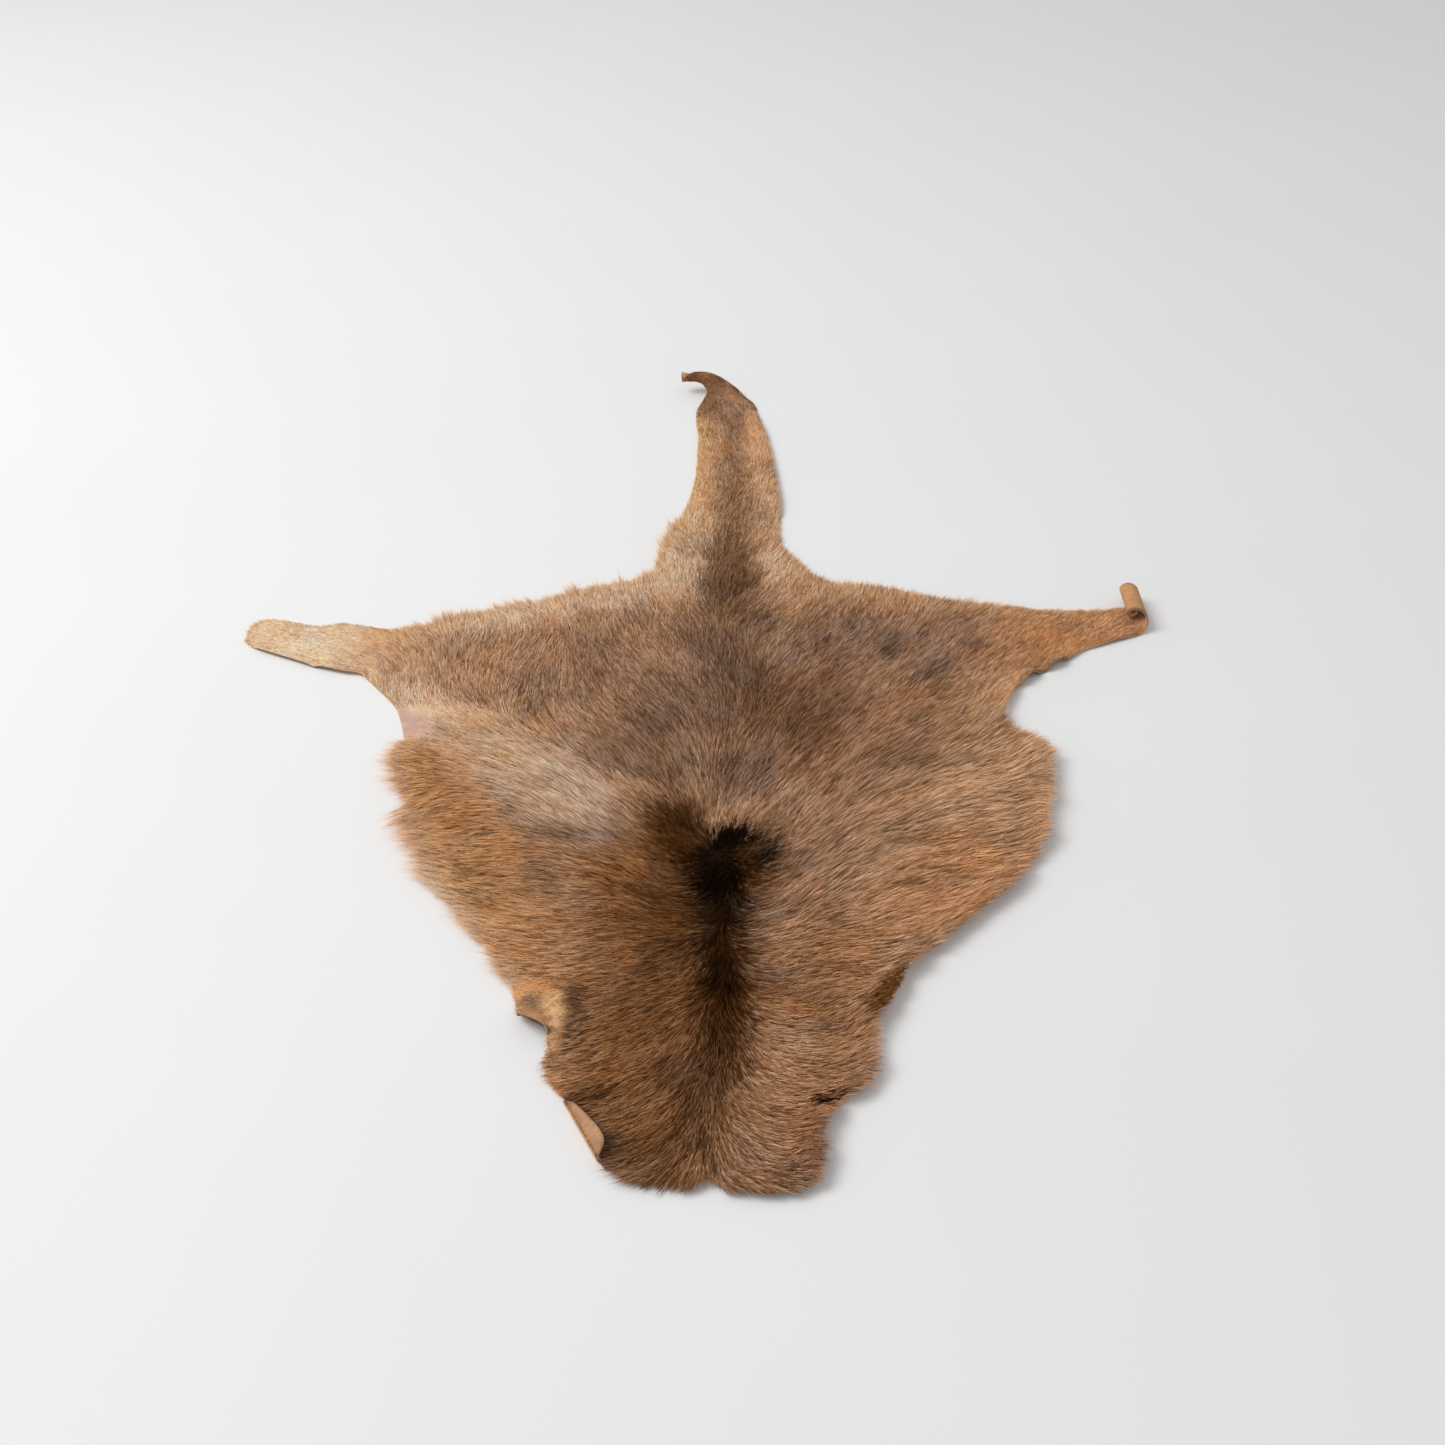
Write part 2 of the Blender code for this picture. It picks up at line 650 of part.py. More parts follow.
def hide_underside():
    """The underside of the hide as an open mesh, with the height of the slab at each of its points."""
    rim = locked(flat_outline())
    points = rim + net_points(rim)
    edges = [(index, (index + 1) % len(rim)) for index in range(len(rim))]
    flat, _, faces, _, _, _ = delaunay_2d_cdt(points, edges, [], 1, 1e-6)
    line = tip_line()
    shape = bmesh.new()
    corners = [shape.verts.new(in_place(point, line)) for point in flat]
    for face in faces:
        shape.faces.new([corners[index] for index in face])
    bmesh.ops.recalc_face_normals(shape, faces=shape.faces)
    heights = [
        slab_height(point, distance) for point, distance in zip(flat, rim_distances(rim, flat))
    ]
    mesh = bpy.data.meshes.new("hide")
    shape.to_mesh(mesh)
    shape.free()
    if mesh.polygons[0].normal.z < 0.0:
        mesh.flip_normals()
    return mesh, heights


def fur_material():
    """Golden to grey-brown fur."""
    material = bpy.data.materials.new("hide_fur")
    material.use_nodes = True
    shader = material.node_tree.nodes["Principled BSDF"]
    shader.inputs["Base Color"].default_value = (0.31, 0.18, 0.09, 1.0)
    shader.inputs["Roughness"].default_value = 0.85
    shader.inputs["Metallic"].default_value = 0.0
    return material


def build_hide(collection):
    """The hide as one solid: its underside, thickened upwards by the height of the pile."""
    mesh, heights = hide_underside()
    hide = bpy.data.objects.new("hide", mesh)
    collection.objects.link(hide)
    mesh.materials.append(fur_material())
    group = hide.vertex_groups.new(name="pile")
    for index, height in enumerate(heights):
        group.add([index], height / TALLEST_PILE, "REPLACE")
    slab = hide.modifiers.new("pile", "SOLIDIFY")
    slab.thickness = TALLEST_PILE
    slab.offset = 1.0
    slab.vertex_group = group.name
    return hide


def centre_on_floor(hide):
    """Moves the hide's mesh so that the middle of its box is at the origin and its underside at 0."""
    bpy.context.view_layer.update()
    seen = hide.evaluated_get(bpy.context.evaluated_depsgraph_get())
    corners = np.array([tuple(vertex.co) for vertex in seen.data.vertices])
    low, high = corners.min(axis=0), corners.max(axis=0)
    middle = (low + high) / 2.0
    for vertex in hide.data.vertices:
        vertex.co -= Vector((middle[0], middle[1], low[2]))


def main():
    for old in list(bpy.data.objects):
        bpy.data.objects.remove(old, do_unlink=True)
    collection = bpy.data.collections.new("kangaroo_hide_rug")
    bpy.context.scene.collection.children.link(collection)
    hide = build_hide(collection)
    centre_on_floor(hide)


main()
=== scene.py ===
"""Looks of the kangaroo hide rug: the tanned skin, its fur, a pale floor, soft light and the camera.

The skin is drawn flat, as a maker would chalk it, and then laid in its folds. The fur grows from the laid
skin in tapering hairs that follow the way of the coat. Sizes are in metres, and in millimetres in tables.
"""

import logging
import math
from dataclasses import dataclass, field
from enum import Enum, IntEnum
from typing import NamedTuple, NewType

import bpy
import numpy as np
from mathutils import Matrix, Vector
from mathutils.geometry import delaunay_2d_cdt
from mathutils.kdtree import KDTree


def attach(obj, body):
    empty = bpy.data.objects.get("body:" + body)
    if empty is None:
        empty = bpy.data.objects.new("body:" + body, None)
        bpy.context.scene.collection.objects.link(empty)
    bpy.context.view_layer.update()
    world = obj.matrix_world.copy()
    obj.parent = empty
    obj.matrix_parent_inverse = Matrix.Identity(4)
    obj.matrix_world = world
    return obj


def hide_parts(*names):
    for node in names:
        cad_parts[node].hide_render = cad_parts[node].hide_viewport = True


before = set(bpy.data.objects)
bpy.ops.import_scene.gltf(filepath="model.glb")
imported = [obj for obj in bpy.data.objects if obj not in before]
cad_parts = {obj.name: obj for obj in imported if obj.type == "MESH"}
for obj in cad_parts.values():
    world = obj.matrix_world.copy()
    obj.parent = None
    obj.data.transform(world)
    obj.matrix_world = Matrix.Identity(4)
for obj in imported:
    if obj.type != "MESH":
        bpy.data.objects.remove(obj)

log = logging.getLogger("hide_rug")

# The zero of the flat drawing, seen from the middle of the rug's box
DRAWING_ZERO = np.array((0.0031, 0.0234))

# How far noise mostly reaches, of its range from 0 to 1
NOISE_SPAN = (0.3, 0.7)

# Stains, painted shade and highlight on the flesh side and dims of the painted glow are whole within half of
# their width, and gone at this many widths
FADE = 1.5

Pair = tuple[float, float]
Triple = tuple[float, float, float]

# The fields of a row that its table gives in millimetres
Length = NewType("Length", float)
Place = NewType("Place", tuple)


class Seed(IntEnum):
    """Starts of the random draws."""

    WANDER = 40
    RAGGED = 60
    WARMTH = 70
    STREAKS = 80
    MOTTLE = 90
    PARTINGS = 95
    PARTING_GAPS = 96
    TUFTS = 98
    HAIRS = 100


def rows(kind: type, *given: tuple) -> tuple:
    """Named rows of a table, which gives lengths and places in millimetres.

    Args:
        kind: The kind of the rows, whose fields of the type Length or Place are turned to metres.
        given: The values of each row.

    Returns:
        The rows.
    """
    scales = {Length: lambda value: value / 1000, Place: lambda value: tuple(part / 1000 for part in value)}
    scale = [scales.get(sort, lambda value: value) for sort in kind.__annotations__.values()]
    return tuple(kind(*(turn(value) for turn, value in zip(scale, row))) for row in given)


class Cut(NamedTuple):
    """A cut across the hide: its place, and the rim on the lower and on the upper side of it."""

    place: Length
    low: Length
    high: Length


class Spot(NamedTuple):
    """A point of the flat drawing."""

    x: Length
    y: Length


# Cuts across the body, from the neck corner to the groin: place on Y, left and right rim
BODY = rows(
    Cut,
    (-560, -113, 145),
    (-535, -122, 153),
    (-516, -120, 154),
    (-505, -126, 155),
    (-495, -145, 159),
    (-467, -153, 174),
    (-440, -165, 188),
    (-420, -179, 208),
    (-400, -194, 230),
    (-370, -214, 262),
    (-340, -240, 292),
    (-305, -254, 315),
    (-280, -264, 331),
    (-250, -279, 336),
    (-220, -286, 344),
    (-190, -297, 352),
    (-158, -307, 354),
    (-136, -300, 345),
    (-118, -303, 326),
    (-100, -308, 319),
)

# Cuts across the hind legs, from root to foot: place on X, near and far rim
LEFT_LEG = rows(
    Cut,
    (-317, -78, 61),
    (-338, -51, 56),
    (-361, -26, 60),
    (-380, -22, 65),
    (-400, -16, 68),
    (-420, -9, 63),
    (-440, 0, 66),
    (-465, 11, 73),
    (-486, 21, 75),
    (-500, 35, 60),
)
RIGHT_LEG = rows(
    Cut,
    (322, -86, 102),
    (334, -58, 100),
    (350, -34, 99),
    (384, -11, 93),
    (402, 3, 92),
    (420, 18, 91),
    (440, 27, 91),
    (465, 38, 93),
    (484, 46, 98),
    (508, 58, 110),
    (533, 68, 116),
    (558, 74, 114),
)

# Cuts across the tail, from the rump to where its tip curls: place on Y, left and right rim
TAIL = rows(
    Cut,
    (161, -60, 129),
    (187, -53, 115),
    (215, -50, 99),
    (250, -41, 94),
    (285, -27, 96),
    (320, -17, 96),
    (370, -10, 93),
    (420, -8, 89),
    (470, -7, 83),
    (515, -10, 75),
    (550, -10, 71),
)

# The rim between those cuts
NECK_EDGE = rows(
    Spot,
    (-66, -633), (-58, -640), (-40, -651), (-13, -655), (6, -653), (15, -646), (26, -655), (45, -658),
    (80, -657), (98, -650), (104.5, -626), (109, -602), (123, -580),
)
RIGHT_RUMP = rows(
    Spot,
    (286, 109), (240, 124), (210, 134), (183, 141), (151, 144),
)
LEFT_RUMP = rows(
    Spot,
    (-85, 146), (-125, 134), (-155, 122), (-185, 109), (-215, 100), (-248, 88), (-280, 78), (-302, 66),
)


class Tip(NamedTuple):
    """A cut across the curled tail tip: way along it, flat width, radius of the curl across, height of the
    crown, heading left of +Y and turn of the open seam about the tail, both in degrees."""

    along: Length
    width: Length
    radius: Length
    crown: Length
    heading: float
    twist: float


TAIL_TIP = rows(
    Tip,
    (0, 81, 235, 3.5, 3, 0),
    (22, 67, 65, 10, 9, 0),
    (42, 54, 27, 17.5, 28, 5),
    (59, 40, 12.5, 24, 62, 20),
    (75, 28, 6, 27, 92, 75),
    (90, 21, 4.5, 27, 92, 150),
    (102, 17, 4.6, 27.5, 96, 205),
)


class Lift(NamedTuple):
    """Where the skin stands off the floor: the ends of a ridge, its width to each side, its height and
    whether it is a rim that turns up and shows its cut edge."""

    name: str
    start: Place
    end: Place
    width: Length
    height: Length
    turned: bool = False


LIFTS = rows(
    Lift,
    ("right flank rim", (345, -160), (333, -280), 38, 10),
    ("right side rim", (305, -330), (225, -412), 34, 8.5),
    ("right shoulder rim", (195, -435), (156, -495), 32, 12),
    ("right shoulder bulge", (152, -530), (135, -570), 30, 8),
    ("right neck rim", (110, -592), (98, -636), 30, 11),
    ("neck lip", (40, -650), (86, -650), 18, 6),
    ("neck notch", (8, -652), (12, -650), 12, 5),
    ("right groin rim", (318, -100), (334, -60), 22, 6),
    ("right leg first notch", (383, -12), (391, -6), 13, 9, True),
    ("right leg second notch", (348, -34), (357, -28), 13, 8.5, True),
    ("right leg near rim", (405, 4), (475, 42), 14, 3),
    ("left leg near rim", (-478, 18), (-425, -6), 14, 3.5),
    ("left leg root rim", (-405, -14), (-366, -28), 16, 4.5),
    ("left leg crease", (-352, 4), (-338, -36), 13, 3.5),
    ("armpit lip", (-143, -490), (-126, -500), 19, 8.5),
    ("armpit turned rim", (-144, -497), (-124, -508), 9, 17.5, True),
    ("armpit ridge", (-108, -468), (-116, -510), 15, 9),
    ("tail right rim", (94, 300), (72, 535), 20, 5),
    ("left flank swell", (-240, -230), (-190, -300), 70, 3),
    ("rump swell", (-60, 20), (120, 30), 85, 3),
)


def soft(share: np.ndarray) -> np.ndarray:
    """Shares from 0 to 1 with soft ends."""
    share = np.clip(share, 0.0, 1.0)
    return share * share * (3.0 - 2.0 * share)


def through(places: np.ndarray, keys: list[float], values: list[float]) -> np.ndarray:
    """Values on a smooth curve through given ones.

    Args:
        places: Where the curve is read.
        keys: The places of the given values, in order.
        values: The given values.

    Returns:
        The curve's value at each place.
    """
    keys, values = np.array(keys), np.array(values)
    slopes = np.gradient(values, keys)
    places = np.clip(places, keys[0], keys[-1])
    low = np.clip(np.searchsorted(keys, places) - 1, 0, len(keys) - 2)
    step = keys[low + 1] - keys[low]
    t = (places - keys[low]) / step
    start = values[low] * (1.0 + 2.0 * t) * (1.0 - t) ** 2 + slopes[low] * step * t * (1.0 - t) ** 2
    end = values[low + 1] * t**2 * (3.0 - 2.0 * t) - slopes[low + 1] * step * t**2 * (1.0 - t)
    return start + end


def from_line(points: np.ndarray, start: Pair, end: Pair) -> np.ndarray:
    """Distances of flat points from the line between two ends.

    Args:
        points: Flat points, one a row.
        start: One end of the line.
        end: The other end.

    Returns:
        The distance of each point.
    """
    span = np.subtract(end, start)
    share = np.clip(((points - start) @ span) / (span @ span), 0.0, 1.0)
    return np.hypot(*(points - start - share[:, None] * span).T)


def curve_through(points: list[Spot], step: float) -> np.ndarray:
    """A smooth open curve.

    Args:
        points: The points that it goes through.
        step: About how far apart its own points are.

    Returns:
        The curve's points, one a row.
    """
    given = np.array(points, dtype=float)
    ends = np.vstack((given[0] * 2 - given[1], given, given[-1] * 2 - given[-2]))
    drawn = []
    for before, low, high, after in zip(ends, ends[1:], ends[2:], ends[3:]):
        count = max(1, round(float(np.hypot(*(high - low))) / step))
        t = (np.arange(count) / count)[:, None]
        bent = (before * 2 - low * 5 + high * 4 - after) * t**2
        turned = (low * 3 - before - high * 3 + after) * t**3
        drawn.append((low * 2 + (high - before) * t + bent + turned) / 2)
    return np.vstack((*drawn, given[-1]))


def leg_rims(columns: np.ndarray) -> tuple[np.ndarray, np.ndarray]:
    """The near and the far rim of the right leg on Y, at places on X."""
    keys, sides = [cut.place for cut in RIGHT_LEG], ("low", "high")
    return tuple(through(columns, keys, [getattr(cut, side) for cut in RIGHT_LEG]) for side in sides)


def rim_of(cuts: list[Cut], side: str, leg: bool = False) -> list[Spot]:
    """The rim on the low or the high side of cuts, which have their places on Y, or on X for a leg."""
    ends = [(getattr(cut, side), cut.place) for cut in cuts]
    return [Spot(*(end[::-1] if leg else end)) for end in ends]


def unit(vectors: np.ndarray) -> np.ndarray:
    """Vectors brought to a length of 1."""
    return vectors / np.maximum(np.linalg.norm(vectors, axis=1), 1e-12)[:, None]


def facing(headings: np.ndarray) -> np.ndarray:
    """Flat unit vectors for headings in radians from +X."""
    return np.stack((np.cos(headings), np.sin(headings)), axis=1)


def outward_ways(rim: np.ndarray) -> np.ndarray:
    """The ways that point out of a closed rim at its points, as unit vectors."""
    ahead = np.roll(rim, -1, axis=0) - np.roll(rim, 1, axis=0)
    return unit(np.stack((ahead[:, 1], -ahead[:, 0]), axis=1))


def signed_areas(corners: np.ndarray) -> np.ndarray:
    """Areas of flat triangles, below 0 where the corners run clockwise."""
    first, second = corners[:, 1] - corners[:, 0], corners[:, 2] - corners[:, 0]
    return (first[:, 0] * second[:, 1] - first[:, 1] * second[:, 0]) / 2.0


def tree_of(points: np.ndarray, indices: np.ndarray) -> KDTree:
    """A tree for finding the nearest of some flat points.

    Args:
        points: Flat points, one a row.
        indices: Which of them the tree holds.

    Returns:
        The tree, which knows each point by its index.
    """
    tree = KDTree(len(indices))
    for index in indices:
        tree.insert((*points[index], 0.0), int(index))
    tree.balance()
    return tree


class Grain:
    """An uneven field over the flat hide, from random values at the corners of small cells."""

    SIDE = 512
    # The least and the most samples of a streak
    SAMPLES = (3, 12)

    def __init__(self, cell: float, seed: int) -> None:
        """Draws the values.

        Args:
            cell: Side of a cell in metres.
            seed: Start of the random draws.
        """
        self.cell = cell
        self.values = np.random.default_rng(seed).uniform(-1.0, 1.0, (self.SIDE, self.SIDE))

    def at(self, points: np.ndarray) -> np.ndarray:
        """The field's value at flat points, from -1 to 1.

        Args:
            points: Flat points, one a row.

        Returns:
            The value at each point.
        """
        place = points / self.cell
        low = np.floor(place).astype(int)
        x, y = soft(place - low).T
        (left, down), (right, up) = (low % self.SIDE).T, ((low + 1) % self.SIDE).T
        lower = self.values[left, down] * (1.0 - x) + self.values[right, down] * x
        upper = self.values[left, up] * (1.0 - x) + self.values[right, up] * x
        return lower * (1.0 - y) + upper * y

    def along(self, points: np.ndarray, headings: np.ndarray, reach: np.ndarray) -> np.ndarray:
        """The field drawn out into streaks along given ways.

        Args:
            points: Flat points, one a row.
            headings: The way of the streak at each point, in radians from +X.
            reach: Half the length of the streak at each point.

        Returns:
            The value at each point, mostly from -1 to 1.
        """
        count = int(np.clip(round(2.0 * float(np.mean(reach)) / self.cell), *self.SAMPLES))
        ways = facing(headings) * reach[:, None]
        total = sum(self.at(points + ways * share) for share in np.linspace(-1.0, 1.0, count))
        return total / math.sqrt(count)


@dataclass(frozen=True)
class Scroll:
    """The right foot, rolled up with the fur inwards."""

    start: float = 0.4840
    radius: float = 0.0140
    tightening: float = 0.00118
    turn: float = math.radians(520.0)
    step: float = math.radians(14.0)

    def columns(self) -> np.ndarray:
        """Where the rolled skin has its net's columns, counted across the flat hide."""
        angles = np.linspace(0.0, self.turn, round(self.turn / self.step) + 1)
        return self.start + self.radius * angles - self.tightening * angles**2 / 2.0

    def place(self, points: np.ndarray) -> np.ndarray:
        """Places in space of flat points that are rolled up.

        Args:
            points: Flat points, one a row.

        Returns:
            The places, one a row.
        """
        root = self.radius**2 - 2.0 * self.tightening * (points[:, 0] - self.start)
        angle = (self.radius - np.sqrt(np.maximum(root, 0.0))) / self.tightening
        radius = self.radius - self.tightening * angle
        x = self.start + radius * np.sin(angle)
        return np.stack((x, points[:, 1], self.radius - radius * np.cos(angle)), axis=1)


@dataclass(frozen=True)
class Strip:
    """The skin that is turned up and over on the left of the neck."""

    top: Pair = (-0.102, -0.567)
    foot: Pair = (-0.068, -0.629)
    radius: float = 0.0045
    turn: float = math.radians(145.0)
    past_foot: float = 1.12
    widest: float = 0.040
    # Share of the fold line's length, and how far the flat skin reaches past it there
    reaches: tuple[Pair, ...] = (
        (0.04, 0.002),
        (0.13, 0.0115),
        (0.25, 0.0165),
        (0.45, 0.0200),
        (0.68, 0.023),
        (0.86, 0.022),
        (0.97, 0.012),
    )

    def ways(self) -> tuple[np.ndarray, np.ndarray, float]:
        """The way along the fold line, the way out of the hide, and the line's length.

        Returns:
            The two ways as flat unit vectors, and the length.
        """
        span = np.subtract(self.foot, self.top)
        length = float(np.hypot(*span))
        along = span / length
        return along, np.array((along[1], -along[0])), length

    def edge(self, step: float) -> np.ndarray:
        """The flat rim of the strip, from its top to its foot.

        Args:
            step: About how far apart its points are.

        Returns:
            The points, one a row.
        """
        along, outward, length = self.ways()
        points = [self.top + along * (share * length) + outward * reach for share, reach in self.reaches]
        return curve_through([Spot(*point) for point in points], step)

    def across(self, points: np.ndarray) -> tuple[np.ndarray, np.ndarray]:
        """How far flat points are past the fold line, and at which share of its length.

        Args:
            points: Flat points, one a row.

        Returns:
            The distance and the share of each point.
        """
        along, outward, length = self.ways()
        away = points - np.array(self.top)
        return away @ outward, away @ along / length

    def holds(self, points: np.ndarray, margin: float = 0.0) -> np.ndarray:
        """Which flat points are on the strip, or within a margin before its fold line."""
        beyond, share = self.across(points)
        return (beyond > -margin) & (beyond < self.widest) & (share > 0.0) & (share < self.past_foot)

    def place(self, points: np.ndarray) -> np.ndarray:
        """Places in space of flat points on the strip.

        Args:
            points: Flat points, one a row.

        Returns:
            The places, one a row.
        """
        _, outward, _ = self.ways()
        beyond, _ = self.across(points)
        angle = np.minimum(beyond / self.radius, self.turn)
        straight = np.maximum(beyond - self.radius * self.turn, 0.0)
        out = self.radius * np.sin(angle) + straight * math.cos(self.turn)
        height = self.radius * (1.0 - np.cos(angle)) + straight * math.sin(self.turn)
        spots = points + outward * (out - beyond)[:, None]
        return np.column_stack((spots, height))


@dataclass(frozen=True)
class Horn:
    """The tail tip, curled across into a tube and turned to the left."""

    start: float = TAIL[-1].place
    middle: float = (TAIL[-1].low + TAIL[-1].high) / 2.0
    length: float = TAIL_TIP[-1].along
    point: float = 0.001
    stations: int = 30
    line_steps: int = 90
    # The arch of the tip fades out along the tail over this length
    rise: float = 0.060

    def read(self, name: str, along: np.ndarray) -> np.ndarray:
        """A measure of the tip at places along it."""
        return through(along, [row.along for row in TAIL_TIP], [getattr(row, name) for row in TAIL_TIP])

    def rims(self) -> tuple[np.ndarray, np.ndarray]:
        """The places of the tip's cuts on Y and half of its flat width there."""
        along = np.linspace(0.0, self.length, self.stations)
        return self.start + along, self.read("width", along) / 2.0

    def place(self, points: np.ndarray) -> np.ndarray:
        """Places in space of flat points of the tip.

        Args:
            points: Flat points, one a row.

        Returns:
            The places, one a row.
        """
        steps = np.linspace(0.0, self.length, self.line_steps + 1)
        headings = np.radians(self.read("heading", steps))
        forward = np.stack((-np.sin(headings), np.cos(headings)), axis=1)
        gaps = forward[:-1] * (self.length / self.line_steps)
        line = np.vstack(((0.0, 0.0), np.cumsum(gaps, axis=0))) + (self.middle, self.start)
        along = np.clip(points[:, 1] - self.start, 0.0, self.length)
        middle = np.stack([np.interp(along, steps, line[:, axis]) for axis in (0, 1)], axis=1)
        heading = np.interp(along, steps, headings)
        radius, crown = self.read("radius", along), self.read("crown", along)
        angle = (points[:, 0] - self.middle) / radius - np.radians(self.read("twist", along))
        spots = middle + facing(heading) * (radius * np.sin(angle))[:, None]
        return np.column_stack((spots, crown - radius * (1.0 - np.cos(angle))))

    def arch(self, points: np.ndarray) -> tuple[np.ndarray, np.ndarray]:
        """The arch of the tip as it runs out along the tail before it.

        Args:
            points: Flat points, one a row.

        Returns:
            The arch's height under each point, and the share that it has in the skin's height there.
        """
        share = np.clip(1.0 + (points[:, 1] - self.start) / self.rise, 0.0, 1.0) ** 2
        drop = (points[:, 0] - self.middle) ** 2 / (2.0 * TAIL_TIP[0].radius)
        return np.maximum(TAIL_TIP[0].crown - drop, 0.0), share


@dataclass(frozen=True)
class Drawing:
    """The flat hide and the folds in which it lies."""

    scroll: Scroll = Scroll()
    strip: Strip = Strip()
    horn: Horn = Horn()
    rim_step: float = 0.0045
    probe: float = 0.0002

    def outline(self) -> np.ndarray:
        """The rim of the flat hide with its fur, counter-clockwise from the foot of the turned-up strip.

        Returns:
            The rim's points, one a row.
        """
        step, columns = self.rim_step, self.scroll.columns()
        near, far = leg_rims(columns)
        leg = [cut for cut in RIGHT_LEG if cut.place < self.scroll.start]
        right = [*NECK_EDGE, *rim_of(BODY, "high"), *rim_of(leg, "low", leg=True)]
        right_far = [*rim_of(leg, "high", leg=True)[::-1], *RIGHT_RUMP, *rim_of(TAIL[:-1], "high")]
        left_leg = [*rim_of(LEFT_LEG, "high", leg=True), *rim_of(LEFT_LEG, "low", leg=True)[::-1]]
        left = [*rim_of(TAIL[:-1], "low")[::-1], *LEFT_RUMP, *left_leg, *rim_of(BODY, "low")[::-1]]
        y, half = self.horn.rims()
        return np.vstack(
            (
                curve_through(right, step),
                np.stack((columns, near), axis=1),
                np.stack((columns, far), axis=1)[::-1],
                curve_through(right_far, step),
                np.stack((self.horn.middle + half, y), axis=1),
                (self.horn.middle, y[-1] + self.horn.point),
                np.stack((self.horn.middle - half, y), axis=1)[::-1],
                curve_through(left, step),
                self.strip.edge(step),
            )
        )

    def under(self, points: np.ndarray) -> np.ndarray:
        """Where the flesh side of the laid hide is, for flat points.

        Args:
            points: Points of the flat drawing, one a row.

        Returns:
            Their places in space, one a row.
        """
        lift = np.zeros(len(points))
        for row in LIFTS:
            share = 1.0 - from_line(points, row.start, row.end) / row.width
            lift = np.maximum(lift, row.height * soft(share))
        arch, blend = self.horn.arch(points)
        laid = np.column_stack((points, lift * (1.0 - blend) + arch * blend))
        for held, fold in (
            (points[:, 1] >= self.horn.start, self.horn),
            (points[:, 0] > self.scroll.start, self.scroll),
            (self.strip.holds(points), self.strip),
        ):
            if held.any():
                laid[held] = fold.place(points[held])
        laid[:, :2] += DRAWING_ZERO
        return laid

    def upright(self, points: np.ndarray) -> np.ndarray:
        """The ways that point out of the fur side at flat points, as unit vectors."""
        steps = np.array(((self.probe, 0.0), (0.0, self.probe)))
        return unit(np.cross(*(self.under(points + step) - self.under(points - step) for step in steps)))


class Way(NamedTuple):
    """Which way the hair runs at a point: degrees from +X."""

    x: Length
    y: Length
    heading: float


WAYS = rows(
    Way,
    # Left leg and rump
    (-440, 30, 158), (-390, 30, 162), (-340, 30, 150), (-300, -10, 100), (-250, 30, 62),
    (-200, 10, 62), (-130, 0, 98), (-60, 10, 125), (-10, 30, 105), (40, 30, 90),
    # Left groin and back
    (-250, -50, 105), (-190, -60, 75), (-140, -60, 105), (-230, -120, 155),
    (-140, -110, 140), (-60, -110, 130), (0, -110, 125), (40, -120, 85),
    # Left flank, as far as the whorl
    (-240, -170, 180), (-180, -180, 165), (-260, -230, 225), (-210, -240, 205),
    (-130, -240, 150), (-60, -230, 142), (0, -210, 115), (30, -240, 66), (60, -210, 48),
    # Left side
    (-240, -310, 170), (-160, -310, 200), (-90, -310, 165), (-20, -280, 160),
    (-30, -350, 148), (-140, -380, 174), (-70, -380, 210), (0, -370, 185),
    (-110, -450, 190), (-50, -440, 206), (10, -440, 212),
    # Stripe and neck
    (30, -330, 268), (30, -430, 272), (20, -530, 240), (20, -610, 260),
    # Left of the neck
    (-80, -520, 200), (-40, -530, 224), (-60, -600, 196), (-20, -600, 222),
    # Right of the neck
    (50, -510, 308), (80, -500, 8), (120, -500, 15), (50, -570, 318), (80, -570, 16),
    (100, -590, 350), (80, -620, 352), (50, -620, 342),
    # Right side
    (60, -390, 18), (60, -430, 14), (80, -430, 4), (120, -410, 345), (170, -380, 20),
    (220, -350, 15),
    # Right flank
    (80, -360, 38), (100, -300, 50), (60, -290, 20), (150, -300, 20), (220, -280, 10),
    (290, -300, 5), (310, -230, 342), (260, -210, 5), (200, -210, 28), (130, -200, 42),
    # Right back
    (60, -140, 52), (130, -80, 44), (190, -110, 40), (260, -120, 32), (320, -150, 20),
    (300, -60, 44),
    # Right haunch and leg
    (220, 10, 48), (310, 30, 44), (110, 30, 50), (70, 80, 58), (370, 30, 42), (430, 60, 38),
    (480, 70, 28), (180, 100, 72),
    # Far rim of the left haunch
    (-20, 100, 108), (-110, 70, 116), (-220, 70, 130), (-300, 40, 138),
    # Tail
    (20, 180, 82), (-30, 200, 118), (80, 190, 62), (40, 310, 75), (10, 360, 92),
    (80, 340, 70), (30, 490, 100), (30, 600, 92),
)


class Pelt(NamedTuple):
    """The fur about a point: radius of its reach, length of the hair, its lean off the skin and how much its
    locks turn to and fro, both in degrees."""

    name: str
    x: Length
    y: Length
    radius: Length
    length: Length
    lean: float
    unrest: float


